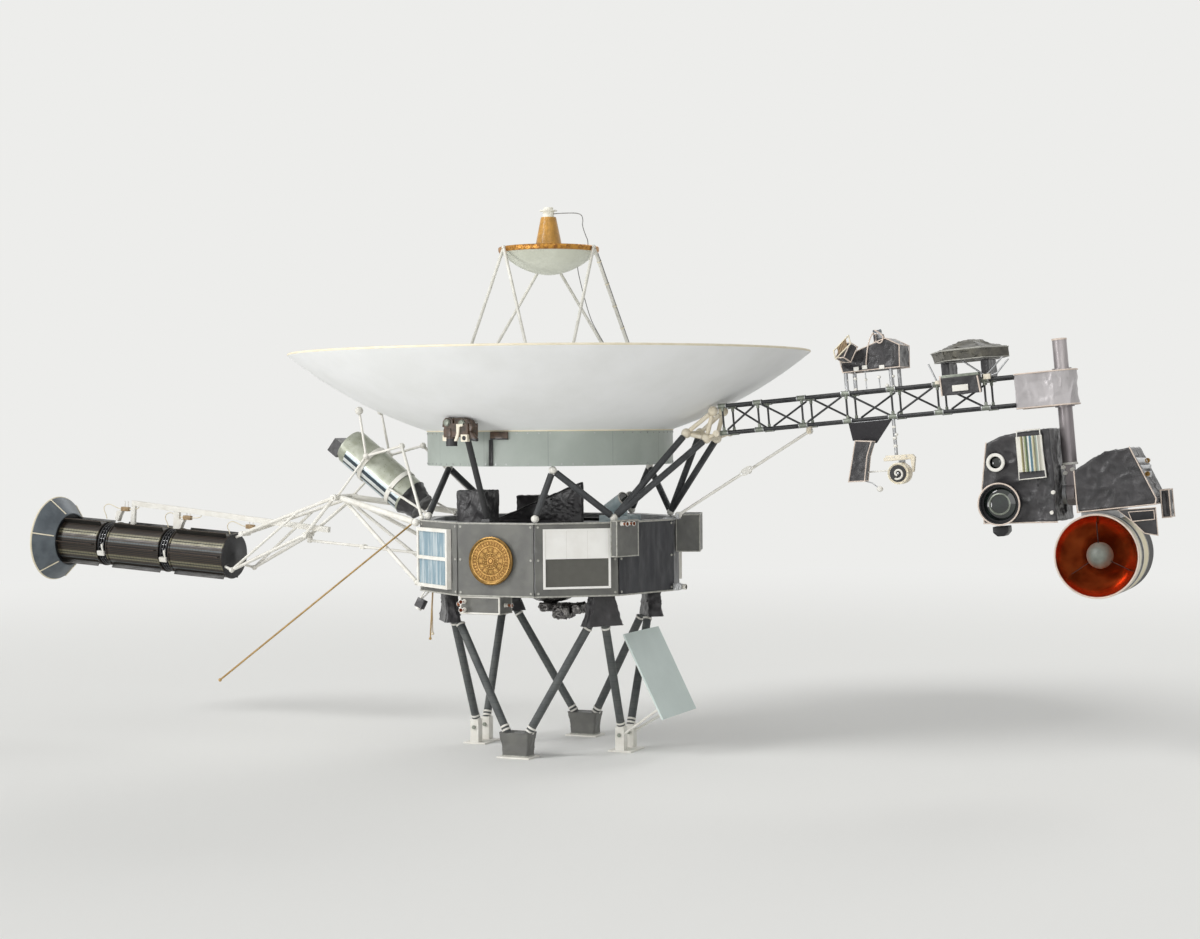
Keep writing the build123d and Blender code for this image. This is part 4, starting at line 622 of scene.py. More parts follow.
def blanket(name, solids, body, material, **own):
    # cloth over boxes: rounded edges, folds and slack faces, inside the space of the solids
    look = {**plainBlanket, **own}
    joined = bmesh.new()
    for solid in solids:
        bm = solid.copy()
        bm.normal_update()
        sharp = sharpEdges(bm, 30)
        segments = [[v.co.copy() for v in edge.verts] for edge in sharp]
        bmesh.ops.bevel(bm, geom=sharp, offset=look["round"] * mm, segments=3, profile=0.5, affect="EDGES",
                        clamp_overlap=True)
        bm = inOrder(bm)
        for turn in range(9):
            bmesh.ops.triangulate(bm, faces=bm.faces)
            long = [e for e in bm.edges if e.calc_length() > look["cell"] * mm * 1.5]
            if not long:
                break
            bmesh.ops.subdivide_edges(bm, edges=long, cuts=1)
        bm.normal_update()
        shift, size = Vector(look["seed"] * share for share in (7.3, 3.1, 1.7)), look["creaseSize"] * mm
        moves = []
        for vert in bm.verts:
            pulled = Vector(a * b for a, b in zip(vert.co, look["pull"])) + shift
            warp = noise.noise_vector(pulled / (size * 1.6)) * 0.5
            ridge = (1 - abs(noise.noise(pulled / size + warp))) ** 6
            cross = (1 - abs(noise.noise(pulled / (size * 0.5) + warp + Vector((5, 9, 2))))) ** 8
            slack = noise.noise(pulled / (size * 1.2) - shift)
            small = noise.noise(vert.co / (26 * mm)) * look["fine"]
            slackness = min(1.0, min(distanceTo(vert.co, a, b) for a, b in segments) / (look["reach"] * mm))
            fold = look["crease"] * (0.6 * ridge + 0.35 * cross + 0.4 * slack)
            moves.append(-look["inset"] - look["hollow"] * slackness + (0.3 + 0.7 * slackness) * fold + small)
        for vert, move in zip(list(bm.verts), moves):
            vert.co += vert.normal * min(-0.3, move) * mm
        part = bpy.data.meshes.new("part")
        bm.to_mesh(part)
        joined.from_mesh(part)
        bpy.data.meshes.remove(part)
        bm.free()
    return addPiece(name, meshOf(name, joined), material, body, 70)


def dress(node, name, solids, body, material, **own):
    # cloth that stands in for a CAD node
    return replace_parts(blanket(name, solids, body, material, **own), node)


def fittingTree():
    # round bodies on every point, along the point's own direction
    tree = bpy.data.node_groups.new("fittingsOnPoints", "GeometryNodeTree")
    sockets = {}
    kinds = {"Geometry": "Geometry", "Radius": "Float", "Length": "Float", "Sides": "Int", "Material": "Material"}
    for name, kind in kinds.items():
        sockets[name] = tree.interface.new_socket(name, in_out="INPUT", socket_type="NodeSocket" + kind).identifier
    tree.interface.new_socket("Geometry", in_out="OUTPUT", socket_type="NodeSocketGeometry")
    given = addNode(tree, "NodeGroupInput").outputs
    along = addNode(tree, "GeometryNodeInputNamedAttribute", {"Name": "along"}, data_type="FLOAT_VECTOR")
    turn = addNode(tree, "FunctionNodeAlignRotationToVector", {"Vector": along}, axis="Z")
    sizes = {"Vertices": given["Sides"], "Radius": given["Radius"], "Depth": given["Length"]}
    body = addNode(tree, "GeometryNodeMeshCylinder", sizes)
    points = {"Points": given["Geometry"], "Instance": body, "Rotation": turn}
    placed = addNode(tree, "GeometryNodeInstanceOnPoints", points)
    real = addNode(tree, "GeometryNodeRealizeInstances", {"Geometry": placed})
    painted = addNode(tree, "GeometryNodeSetMaterial", {"Geometry": real, "Material": given["Material"]})
    addNode(tree, "NodeGroupOutput", {"Geometry": painted})
    return tree, sockets


fittings, fittingSockets = fittingTree()


def setFittings(name, spots, radius, length, sides, material, body):
    # the node tree sets one round body, sized in mm, on each spot of (place, direction)
    mesh = bpy.data.meshes.new(name)
    mesh.from_pydata([tuple(place) for place, way in spots], [], [])
    along = mesh.attributes.new("along", "FLOAT_VECTOR", "POINT")
    for entry, (place, way) in zip(along.data, spots):
        entry.vector = Vector(way).normalized()
    source = addObject(name, mesh)
    modifier = source.modifiers.new("fittings", "NODES")
    modifier.node_group = fittings
    for label, value in (("Radius", radius * mm), ("Length", length * mm), ("Sides", sides), ("Material", material)):
        modifier[fittingSockets[label]] = value
    return addPiece(name, bakedMesh(name, source), material, body, 50)


# Axes of the booms and bays, as the CAD has them; all take mm and give metres
boomRise, rtgRise = radians(4.77), radians(4)
boomAxes = Matrix(((cos(boomRise), 0, -sin(boomRise)), (0, 1, 0), (sin(boomRise), 0, cos(boomRise))))
rtgAxes = Matrix(((-cos(rtgRise), 0, sin(rtgRise)), (0, -1, 0), (sin(rtgRise), 0, cos(rtgRise))))
alongBoom, aboveBoom, alongRtg = boomAxes.col[0], boomAxes.col[2], rtgAxes.col[0]
near = Vector((0, -1, 0))  # towards the record disc


def onBoom(s, y, h):
    return at(1300, 0, 2203) + boomAxes @ at(s, y, h)


def onRtg(s, y, h):
    return at(-1680, 0, 1752) + rtgAxes @ at(s, y, h)


def roundRtg(s, angle, radius):
    # a point round the generators' axis, the angle measured from the top towards the record disc
    turn = radians(angle)
    return onRtg(s, radius * sin(turn), radius * cos(turn) - rtgDrop)


def outOf(angle):
    turn = radians(angle)
    return Vector((cos(turn), sin(turn), 0))


bayFace = 887.5  # mm from the axis to the outer face of a bay's blanket


def onBay(angle, sideways, height, out):
    # on a bay's face: mm sideways, mm from the floor, mm proud of the blanket
    return (outOf(angle) * (bayFace + out) + outOf(angle + 90) * sideways) * mm + at(0, 0, height)


def roundAxis(angle, radius, height):
    # round the probe's upright axis, from the science boom's side: degrees, mm, mm
    return outOf(angle) * radius * mm + at(0, 0, height)


# Finishes of the CAD nodes that keep their shape
nodeLook = (
    (anodised, "bus_frame brace_brackets platform_shaft"),
    (blackAnodise, "electronics_bays camera_tubes generator_couplings"),
    (whiteEnamel, "louvre_frames foot_fittings truss_nodes feed_horn outrigger canister_truss "
                  "brace_lower brace_upper rtg_frame cable_channel rtg_brace_inner rtg_brace_outer"),
    (bladeMirror, "louvre_blades"),
    (radiatorPaint, "radiator_panel"),
    (goldPlate, "record_disc"),
    (trackerLacquer, "star_trackers"),
    (legTape, "adapter_struts"),
    (targetPaint, "calibration_plate"),
    (dishPaint, "dish"),
    (ringEnamel, "dish_ring"),
    (darkTape, "dish_truss"),
    (creamCasting, "boom_root_frame boom_hinge particle_head"),
    (brownPrimer, "dish_fitting"),
    (strutEnamel, "feed_struts"),
    (greyPaint, "subreflector"),
    (ochreFilm, "low_gain_antenna"),
    (dipoleVarnish, "whip_antennas"),
    (canisterFoil, "magnetometer_canister"),
    (darkCloth, "magnetometer_sensor"),
    (graphiteTube, "boom_truss"),
    (standMetal, "instrument_stands"),
    (columnAnodise, "platform_column"),
    (stripPaint, "camera_radiator"),
    (copperMirror, "telescope_drum"),
    (secondaryPaint, "telescope_secondary"),
    (generatorPaint, "generator_cases generator_fins"),
    (slatePaint, "end_shroud"),
)
for material, names in nodeLook:
    for node in names.split():
        nodes[node].material_slots[0].material = material
print("finishes on the CAD nodes that keep their shape")


# Bodies that carry most of the pieces, by short names; the others are written out
boom, platform, rtg = "science_boom", "scan_platform", "generator_boom"

# Cloth over the bays: grey, and near black with pleats beside the one towards the science boom, the near black being
# painted shade
bays = solidsOf("bay_blankets")
shaded = [bay for bay in bays if abs(atan2(middleOf(bay).y, middleOf(bay).x)) < radians(30)]
lit = [bay for bay in bays if bay not in shaded]
bayFolds = {"cell": 20, "round": 9, "inset": 3, "reach": 110, "crease": 15, "creaseSize": 230, "fine": 0.9}
pleats = {"pull": (1, 1, 0.15), "creaseSize": 60}
dress("bay_blankets", "bayBlankets", lit, "bus", busCloth, **bayFolds)
# the near-black cloth of the shaded bays is painted shade
dress("bay_blankets", "shadedBayBlankets", shaded, "bus", shadedPleatedCloth, **{**bayFolds, **pleats})


def onRim(edge):
    # level edges on a bay's outer face
    a, b = (v.co for v in edge.verts)
    return abs(a.z - b.z) < 0.01 and min(hypot(*a.xy), hypot(*b.xy)) > 0.89


bind("bayBindings", bays, 5.5, greyBinding, "bus", keep=onRim)
buttons = [(onBay(turn, side * 262, height, -1), outOf(turn))
           for turn in range(18, 360, 36) for side in (-1, 1) for height in (1148, 1369, 1590)]
setFittings("blanketButtons", buttons, 8, 4, 14, greyBinding, "bus")

decks = sorted(solidsOf("deck_blankets"), key=lambda solid: middleOf(solid).z)
dress("deck_blankets", "deckBlankets", decks[1:], "bus", darkCloth,
      cell=34, round=3, inset=1.5, hollow=1.5, crease=2.4, creaseSize=120)
dress("deck_blankets", "engineCoverFilm", decks[:1], "bus", silverFilm,
      cell=16, round=5, inset=9, hollow=0, crease=9, creaseSize=70, fine=3)

bundles = []  # solids of their own for film that is bundled up: opposite corners in mm
for low, high in (((30, -120, 900), (190, 60, 1030)), ((160, -90, 930), (270, 70, 1035)),
                  ((-60, -150, 950), (60, 40, 1040))):
    bm = bmesh.new()
    size = [(b - a) * mm for a, b in zip(low, high)]
    middle = [(a + b) / 2 * mm for a, b in zip(low, high)]
    bmesh.ops.create_cube(bm, size=1.0, matrix=Matrix.Translation(middle) @ Matrix.Diagonal((*size, 1)))
    bundles.append(bm)
blanket("hangingFilm", bundles, "bus", silverFilm,
        cell=11, round=40, inset=10, hollow=14, reach=40, crease=24, creaseSize=75, fine=5, seed=4)

boxes = solidsOf("bus_boxes")
dress("bus_boxes", "busBoxBlankets", boxes, "bus", busCloth,
      cell=14, round=10, hollow=7, creaseSize=110, fine=1.5, seed=3)
bind("busBoxBindings", boxes, 4.5, greyBinding, "bus", inward=5)
posts = [[at(x, -873, 1004), at(x, -873, 1118)] for x in (-270, 20)]
rails = [[at(-270, -873, z), at(20, -873, z)] for z in (1006, 1116)]
tubes("lowerBoxFrame", posts + rails, 6.5, whiteEnamel, "bus")

deckBoxes = solidsOf("deck_boxes")
dress("deck_boxes", "canisterBaseBlanket", deckBoxes[:1], "bus", darkCloth,
      cell=14, round=10, hollow=14, crease=18, creaseSize=110, fine=2, seed=6)
dress("deck_boxes", "deckBoxBlankets", deckBoxes[1:], "bus", darkCloth,
      cell=15, round=14, hollow=16, crease=22, creaseSize=120, fine=2.5, seed=5)

covers = solidsOf("adapter_covers")
feet = [cover for cover in covers if middleOf(cover).z < 0.3]
brackets = [cover for cover in covers if cover not in feet]
dress("adapter_covers", "bracketBlankets", brackets, "bus", darkCloth,
      cell=14, round=14, hollow=10, crease=14, creaseSize=120, fine=1.5, seed=7)
dress("adapter_covers", "footBlankets", feet, "bus", busCloth,
      cell=13, round=10, hollow=7, creaseSize=90, fine=1.5, seed=8)
bind("footHems", feet, 5, greyBinding, "bus", inward=4, keep=lambda e: max(v.co.z for v in e.verts) < 0.03)
print("bus dressed")

# Dish: cream sealant round its rim and where the ring meets it, a row of rivets at both ends of the ring
turns = [radians(turn) for turn in range(0, 360, 45)]
upright = [((0, 0, 0), (0, 0, 1))]
lathe("dishRimSealant", [(1825.5 + 8.5 * cos(a), 2769.5 + 8.5 * sin(a)) for a in turns], upright, rimSealant, "bus", 160)
lathe("ringFillet", [(864, 2226), (871, 2229), (868, 2236), (861, 2231)], upright, rimSealant, "bus", 120)
rivets = [(roundAxis(turn, 865.5, height), outOf(turn)) for turn in range(0, 360, 5) for height in (2008, 2215)]
setFittings("ringRivets", rivets, 5, 6, 10, anodised, "bus")


def scallops(a):
    # mm that the film's edge stands out where it isn't tied
    return 2.0 + 1.6 * cos(24 * a) + 1.1 * noise.noise(Vector((9 * cos(a), 9 * sin(a), 3)))


# Reflector over the dish: film folded over its rim, and the antenna's line from the cone to the rim
filmEdge = [(340.5, 3484), (346.5, 3482), (352.5, 3494), (352.5, 3514), (347.5, 3519.5), (338, 3519.5), (338, 3516.6),
            (346.5, 3516.6), (346.5, 3499.5), (340.5, 3499.5)]
lathe("reflectorRimFilm", filmEdge, upright, goldFilm, "bus", 144, scallops)
collar = [(96, 3517.5), (104, 3517.5), (104, 3525), (99, 3529), (96, 3529)]
lathe("antennaCollar", collar, upright, whiteEnamel, "bus")
coax = [(40, 3755), (113, 3757), (251, 3751), (268, 3700), (258, 3667), (290, 3580), (303, 3560), (303, 3518)]
tubes("antennaLine", [[at(x, 0, z) for x, z in coax]], 3.5, wireSleeve, "bus", smooth=True)

# The feed's struts run from (radius, height) under the reflector to the dish
strutTop, strutEnd = (361.3, 3508), (870, 2248)
# Two lines clipped along the outer side of the right strut
top, foot = roundAxis(-5, *strutTop), roundAxis(52.6, *strutEnd)
down = (foot - top).normalized()
aside = down.cross(Vector((0, 0, 1))).normalized()
outer = aside.cross(down)
offsets = [(aside * shift + outer * 15) * mm for shift in (-5, 5)]
lineRuns = [[top + offset + down * 0.06, foot + offset - down * 0.05] for offset in offsets]
tubes("feedLines", lineRuns, 3.6, wireSleeve, "bus")
ties = [(top.lerp(foot, 0.08 + 0.12 * step) + outer * 0.004 - down * 0.003, down) for step in range(8)]
lathe("feedLineTies", [(15.2, 0), (16.8, 0), (16.8, 7), (15.2, 7)], ties, rimSealant, "bus", 24)
# One more bends from under the reflector to the back strut: (share of the way, mm beside the strut)
top, foot = roundAxis(115, *strutTop), roundAxis(57.4, *strutEnd)
beside = ((0.2, 90), (0.3, 50), (0.38, 22), (0.45, 15.5), (0.7, 15.5), (0.95, 15.5))
bend = [top.lerp(foot, share) + at(0.916, 0.402, 0) * gap for share, gap in beside]
tubes("reflectorLine", [[at(88, 287, 3458), at(60, 350, 3400)] + bend], 3.2, wireSleeve, "bus", smooth=True)

# Fitting under the dish: brown housings, a cream clamp, and a brown block on the ring with a near-black upright strip
# below it
fitting = max(solidsOf("dish_fitting"), key=lambda solid: middleOf(solid).z)
fittingWay = outOf(-98)
inFront = frameAt(middleOf(fitting), fittingWay, outOf(-8))


def before(depth):
    return inFront @ Matrix.Translation((0, 0, depth))


housings = [
    (before(-10), [(-118, 20), (-112, 62), (-92, 84), (-48, 84), (-30, 70), (-30, 20)], 62),
    (before(-20), [(-24, -13), (-24, 82), (52, 82), (92, 66), (126, 20), (110, -13)], 66),
    (before(30), [(-96, -46), (-96, 12), (-36, 12), (-36, -46)], 38),
    (before(10), [(70, -12), (108, -12), (150, -52), (150, -76), (112, -70), (70, -46)], 34),
]
slabs("fittingHousings", housings, brownPrimer, "bus", 7)
clamp = [(10, 41), (62, 41), (62, 27), (36, 22), (30, -30), (12, -72), (-8, -72), (12, -20)]
clampParts = [(before(52), clamp, 20), (before(34), oblong(52, 48, 70, -52), 34),
              (before(20), oblong(46, 40, -86, -52), 40)]
slabs("fittingClamp", clampParts, creamCasting, "bus", 3)
motor = [(0, 0), (24, 0), (24, 10), (20, 13), (20, 20), (8, 22), (0, 22)]
motorSpots = [(before(52) @ Vector((-72, 50, 0)), fittingWay), (before(46) @ Vector((44, 44, 0)), fittingWay)]
lathe("fittingMotors", motor, motorSpots, greenFitting, "bus", 32)
# a black disc on the clamp stands for its hole: painted shade
holeShadeSpot = [(before(67) @ Vector((72, -52, 0)), fittingWay)]
lathe("fittingHoleShade", [(0, 0), (13, 0), (15, 2), (0, 2)], holeShadeSpot, blackAnodise, "bus", 24)
ringPieces = [(frameAt(roundAxis(turn, 866.5, height), outOf(turn), outOf(turn + 90)), oblong(wide, tall), deep)
          for turn, height, wide, tall, deep in ((-88, 2200, 128, 54, 16), (-92.2, 2085, 30, 176, 7))]
slabs("ringBlockAndStrip", ringPieces, brownPrimer, "bus", 3)
print("dish and antenna detailed")

# Record cover: a generic relief of rings, flutes and petals on a polar grid, darker where it lies low as painted shade
record = {
    "centre": (-24, -908.6, 1363),  # mm
    "edge": 143,  # mm, radius of the relief; the cover's rim goes on to the last of the radii
    "ridges": ((138, 5, 2.8), (98, 3.5, 2.4), (52, 3.5, 2.4), (24, 3, 1.8)),  # mm: radius, half width, height
    "radii": (0, 6, 11.5, 12.5, 16, 20.5, 21.5, 24, 26.8, 27.8, 33, 38, 43, 48, 49, 52, 55, 56, 60, 64, 69, 75, 81, 87,
              91, 94, 95, 98, 101, 102, 106, 111, 116, 121, 126, 130, 132.5, 133.5, 138, 142.5, 143.5, 146),
    "spokes": 216,
}
# the same gold plate, with painted shade darkening the relief where it lies low
reliefGold = makeFinish("engravedGoldPlate", "#86683a", "#70562c", 40, (0.3, 0.46), 3, 0.12, metallic=0.85)
recessShade = addNode(reliefGold.node_tree, "Attribute", attribute_name="recessShade").outputs["Fac"]
paintOver(reliefGold, recessShade, "#5e3d1c", 0.5)


def reliefHeight(r, turn):
    # mm above the cover's face: ridges, then flutes, petals and beads between them, and the middle boss
    if r > record["edge"]:
        return 0.0
    for ridge, width, height in record["ridges"]:
        if abs(r - ridge) < width:
            return height
    if r > 103:
        return 0.5 + 1.0 * (0.5 + 0.5 * cos(36 * turn)) * sin(pi * (r - 103) / 31)
    if r > 56:
        return 0.4 + 1.8 * abs(cos(6 * turn)) * sin(pi * (r - 56) / 39)
    if r > 28:
        return 0.5 + 0.9 * (0.5 + 0.5 * cos(16 * turn))
    return 2.4 if r < 12 else 0.5


bm = bmesh.new()
depth = bm.verts.layers.float.new("recessShade")
place = frameAt(at(*record["centre"]), near)
spokes = [2 * pi * step / record["spokes"] for step in range(record["spokes"])]
rings = []
for r in record["radii"]:
    ring = []
    for turn in spokes if r else spokes[:1]:
        height = reliefHeight(r, turn)
        vert = bm.verts.new(place @ Vector((r * cos(turn), r * sin(turn), height)))
        # painted shade: the lower the relief lies the darker it is; the rim is a little darker too
        vert[depth] = max(0.0, min(0.7, (1.25 - height) / 1.1)) if r < record["edge"] else 0.3
        ring.append(vert)
    rings.append(ring)
last = record["radii"][-1]
back = [bm.verts.new(place @ Vector((last * cos(turn), last * sin(turn), -1.5))) for turn in spokes]
for inner, outer in zip(rings, rings[1:] + [back]):
    for step in range(len(spokes)):
        after = (step + 1) % len(spokes)
        corners = (inner[step % len(inner)], outer[step], outer[after], inner[after % len(inner)])
        bm.faces.new(corners[:3] if len(inner) == 1 else corners)
bm.faces.new(back)
addPiece("recordRelief", meshOf("recordRelief", bm), reliefGold, "bus", 50)
screws = [(place @ Vector((151.5 * cos(a), 151.5 * sin(a), 0.9)), near) for a in map(radians, range(15, 360, 30))]
setFittings("recordScrews", screws, 2.6, 3, 8, anodised, "bus")

# Thrusters: white valves with hollow copper bells
left, ahead = Vector((-1, 0, 0)), Vector((1, 0, 0))
jets = [((825, -617, 1608), outOf(-18)), ((846, -552, 1608), outOf(-18)), ((-240, -903, 1085), near),
        ((-240, -903, 1030), near), ((-303, -800, 1060), left), ((53, -800, 1060), ahead)]
jetSpots = [(at(*middle) - way * 0.0275, way) for middle, way in jets]
valve = [(0, 0), (15, 0), (15, 3), (10, 4), (10, 13), (13, 14), (13, 19), (9, 20), (8, 24), (0, 24)]
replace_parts(lathe("thrusterValves", valve, jetSpots, whiteEnamel, "bus", 20), "thrusters")
bell = [(0, 23), (7, 23), (8.5, 31), (12, 44), (15, 55), (13.4, 55), (10.4, 44), (6.6, 31), (0, 27)]
lathe("thrusterBells", bell, jetSpots, copperBell, "bus", 24)
lathe("thrusterRims", [(13.2, 52.5), (16.4, 52.5), (16.4, 55.5), (13.2, 55.5)], jetSpots, whiteEnamel, "bus", 24)
corner = frameAt(at(933.5, 0, 1150), ahead)
slabs("cornerMount", [(corner, oblong(60, 50), 40), (corner, oblong(46, 38), 61)], anodised, "bus", 3)
cornerJet = [(at(995, 0, 1150), ahead)]
nozzle = [(0, 0), (13, 0), (15, 5), (19.5, 9), (19.5, 27.5), (16.5, 27.5), (14, 12), (0, 10)]
lathe("cornerNozzle", nozzle, cornerJet, whiteEnamel, "bus", 32)
throat = [(0, 10.5), (13.6, 12.2), (15.6, 24), (14.6, 24), (12, 13.5), (0, 13)]
lathe("cornerNozzleThroat", throat, cornerJet, blackAnodise, "bus", 32)

# Small sensor that hangs under the bus's corner, and a thin rod beside it
sensorWay, sensorMiddle = Vector((-0.4, -0.2, -0.9)).normalized(), at(-735, -582, 1030)
sensorBody = frameAt(sensorMiddle - sensorWay * 0.040, sensorWay)
slabs("hangingSensorBody", [(sensorBody, oblong(62, 50), 66)], darkCloth, "bus", 5)
sensorCup = [(0, 0), (23, 0), (24, 3), (24, 15), (20, 15), (18, 5), (0, 4)]
lathe("hangingSensorEnd", sensorCup, [(sensorMiddle + sensorWay * 0.024, sensorWay)], whiteEnamel, "bus", 28)
hanger = [[at(-680, -545, 1122), at(-726, -580, 1068)], [at(-700, -585, 1122), at(-735, -590, 1068)]]
tubes("sensorHanger", hanger, 5.5, whiteEnamel, "bus")
tubes("hangingRod", [[at(-638, -590, 1122), at(-638, -590, 978), at(-637, -590, 834)]], 3.2, tanPhenolic, "bus")
beads("hangingRodTip", [at(-637, -590, 829)], 11, rimSealant, "bus")
print("record and thrusters made")

# Adapter: painted rings on the struts, clevis pins and their nuts
strutRings = []
for signX, signY in ((1, 1), (1, -1), (-1, 1), (-1, -1)):
    top = at(signX * 580, signY * 441, 1062)
    for foot in (at(signX * 85, signY * 563, 175), at(signX * 563, signY * 85, 175)):
        way = (foot - top).normalized()
        strutRings += [(top + way * ((1.062 - height) / -way.z), way) for height in (0.188, 0.212, 0.893)]
ringEdge = [(29, 0), (32, 0), (32.6, 4), (32.6, 9), (32, 13), (29, 13)]
lathe("strutRings", ringEdge, strutRings, whiteEnamel, "bus", 28)
pins = [(at(side * 563, lug * 85, 120), Vector((0, 1, 0))) for side in (-1, 1) for lug in (-1, 1)]
setFittings("clevisPins", pins, 11, 78, 20, anodised, "bus")
nuts = [(place + way * side * 0.0405, way) for place, way in pins for side in (-1, 1)]
setFittings("clevisNuts", nuts, 15, 7, 6, greenFitting, "bus")

# Dark glass discs across the ends of the star trackers' tubes, painted shade for their openings
trackerWay = Vector((0.62, -0.30, 0.35)).normalized()
openings = [(at(420, y, 1706.5) + trackerWay * 0.0935, trackerWay) for y in (190, 330)]
opening = [(0, 1), (41, 1), (44, 4), (41, 4.5), (34, 2.5), (0, 2.5)]
lathe("trackerOpeningShade", opening, openings, opticGlass, "bus", 36)
lathe("trackerRims", [(43, -4), (50, -4), (50.5, 3), (47, 6), (43, 5)], openings, whiteEnamel, "bus", 36)
print("adapter and trackers detailed")


def boomFace(y):
    # axes of (along, above) the science boom in mm, facing the record disc's side at y
    return frameAt(onBoom(0, y, 0), near, alongBoom)


def rtgFace(y):
    # the same for the generator boom; its second axis points down
    return frameAt(onRtg(0, y, 0), near, alongRtg)


def boomRun(y, *points):
    return [onBoom(s, y, h) for s, h in points]


# Science boom: anodised fittings where the laces meet the four chords
stations = [46] + [300 + 309 * step for step in range(6)]
joints = [(s, side, h) for s in stations for side in (-1, 1) for h in (0, 182)]
chordSpots = [(onBoom(s, side * 100, h), alongBoom) for s, side, h in joints]
setFittings("chordSleeves", chordSpots, 17, 62, 18, greenFitting, boom)
collars = [(place + alongBoom * shift, alongBoom) for place, way in chordSpots for shift in (-0.031, 0.026)]
lathe("sleeveCollars", [(16, 0), (18.6, 0), (18.6, 5), (16, 5)], collars, anodised, boom, 18)
stubs = [(onBoom(s, side * 100, h + (24 if h == 0 else -24)), aboveBoom) for s, side, h in joints]
stubs += [(onBoom(s, side * 76, h), near) for s, side, h in joints]
setFittings("laceStubs", stubs, 10.5, 26, 14, greenFitting, boom)
foot, top = at(973.2, 0, 1644), onBoom(609, 0, -40)
knee = frameAt(foot.lerp(top, 0.535) + at(0, -28.5, 0), near, top - foot)
lozenge = [(-62, -6), (-44, 12), (-22, 23), (22, 23), (44, 12), (62, -6), (22, -26), (-22, -26)]
slabs("kneePlate", [(knee, lozenge, 5)], whiteEnamel, "brace_lower_link", 1.2)
kneeBolts = [(knee @ Vector((x, 0, 6)), near) for x in (-38, 38)]
setFittings("kneeBolts", kneeBolts, 5, 4, 6, anodised, "brace_lower_link")
print("boom fittings set")

# Cosmic ray unit: a black bundle on legs with a grille and formed lines
cosmic = solidsOf("cosmic_ray_unit")
dress("cosmic_ray_unit", "cosmicRayBlanket", cosmic, boom, darkCloth,
      cell=11, round=14, hollow=14, reach=55, crease=20, creaseSize=110, fine=2, seed=11)
bind("cosmicRayBindings", cosmic, 3.6, binding, boom, inward=6)
corners, middle, way = faceToward(cosmic[0], (-0.55, -0.65, 0.45))
across, along = corners[1] - corners[0], corners[2] - corners[1]
grille = frameAt(middle, way, across)
grillePlate = [(grille @ Matrix.Translation((0, 0, -7)), oblong(84, 92), 8)]
slabs("grillePlate", grillePlate, tanPhenolic, boom, 1.5)
border = oblong(across.length / mm - 14, along.length / mm - 14)
tubes("grilleFrame", [[grille @ Vector((x, y, 0)) for x, y in border]], 5.5, rimSealant, boom, closed=True)
studs = [(grille @ Vector((x, y, 1.2)), way) for x in range(-35, 36, 14) for y in range(-39, 40, 13)]
setFittings("grilleStuds", studs, 3.4, 3, 8, blackAnodise, boom)
strap = boomRun(-126, (1150, 561), (1101, 517), (1081, 355))
loop = boomRun(-126, (1157, 575), (1215, 540), (1207, 500), (1182, 481), (1165, 500))
tubes("cosmicRayStraps", [strap, loop], 4.5, binding, boom, smooth=True)
blocks = [(boomFace(-112), oblong(34, 26, s, h), 20) for s, h in ((1012, 335), (1070, 340), (1186, 330))]
slabs("cosmicRayBlocks", blocks, whiteEnamel, boom, 2.5)
rods = [boomRun(-98, (s, 196), (s, h)) for s, h in ((993, 318), (1063, 318), (933, 267), (1250, 263), (1154, 267))]
tubes("standRods", rods, 4, anodised, boom)
balls = boomRun(-100, (933, 267), (993, 272), (1063, 259), (928, 207), (990, 201), (1250, 263), (1205, 207),
                (1243, 199), (1154, 267))
beads("standTieBalls", balls, 12, whiteEnamel, boom)
can = [(0, 0), (19, 0), (19, 6), (16, 8), (16, 40), (19, 42), (19, 52), (0, 52)]
lathe("lidSensor", can, [(onBoom(1130, -60, 562), alongBoom)], slatePaint, boom, 28)
wedge = [(1126, 520), (1190, 520), (1182, 560), (1134, 560)]
slabs("lidSensorFoot", [(boomFace(-44), wedge, 32)], anodised, boom, 2)

# Plasma unit: olive head and roof over a black box hung from silver struts
plasma = solidsOf("plasma_unit")
heads = [solid for solid in plasma if middleOf(solid).z > 2.68]
hung = [solid for solid in plasma if solid not in heads]
dress("plasma_unit", "plasmaHeadBlanket", heads, boom, oliveCloth,
      cell=14, round=10, crease=13, creaseSize=120, fine=1.5, seed=12)
dress("plasma_unit", "plasmaBoxBlanket", hung, boom, darkCloth,
      cell=12, round=9, hollow=7, reach=50, crease=11, creaseSize=90, fine=1.5, seed=13)


def isFlat(edge):
    return abs(edge.verts[0].co.z - edge.verts[1].co.z) < 0.06


bind("plasmaBindings", heads[:2], 3.2, greyBinding, boom, inward=5, keep=isFlat)
slabs("plasmaBlankPlate", [(boomFace(-172), oblong(104, 40, 1705, 142), 6)], whiteEnamel, boom, 1.5)
bars = [boomRun(-174, (1577, 229), (1582, 99)), boomRun(-174, (1821, 209), (1833, 102))]
tubes("plasmaBoxEnds", bars, 5.5, binding, boom)
cap = [(1582, 214), (1832, 214), (1826, 232), (1588, 232)]
slabs("plasmaBoxCap", [(boomFace(-108), cap, 62)], greenFitting, boom, 3)
silverRuns = [boomRun(-112, (1493, 318), (1544, 189)), boomRun(-118, (1719, 316), (1871, 199)),
              boomRun(-118, (2019, 300), (1937, 214), (1871, 199)), boomRun(-112, (1980, 316), (1845, 189))]
tubes("plasmaStruts", silverRuns, 5.5, anodised, boom)
strutBlocks = [(boomFace(-104), oblong(46, 34, 1871, 199), 30), (boomFace(-104), oblong(30, 24, 1544, 192), 22)]
slabs("plasmaStrutBlock", strutBlocks, creamCasting, boom, 3)

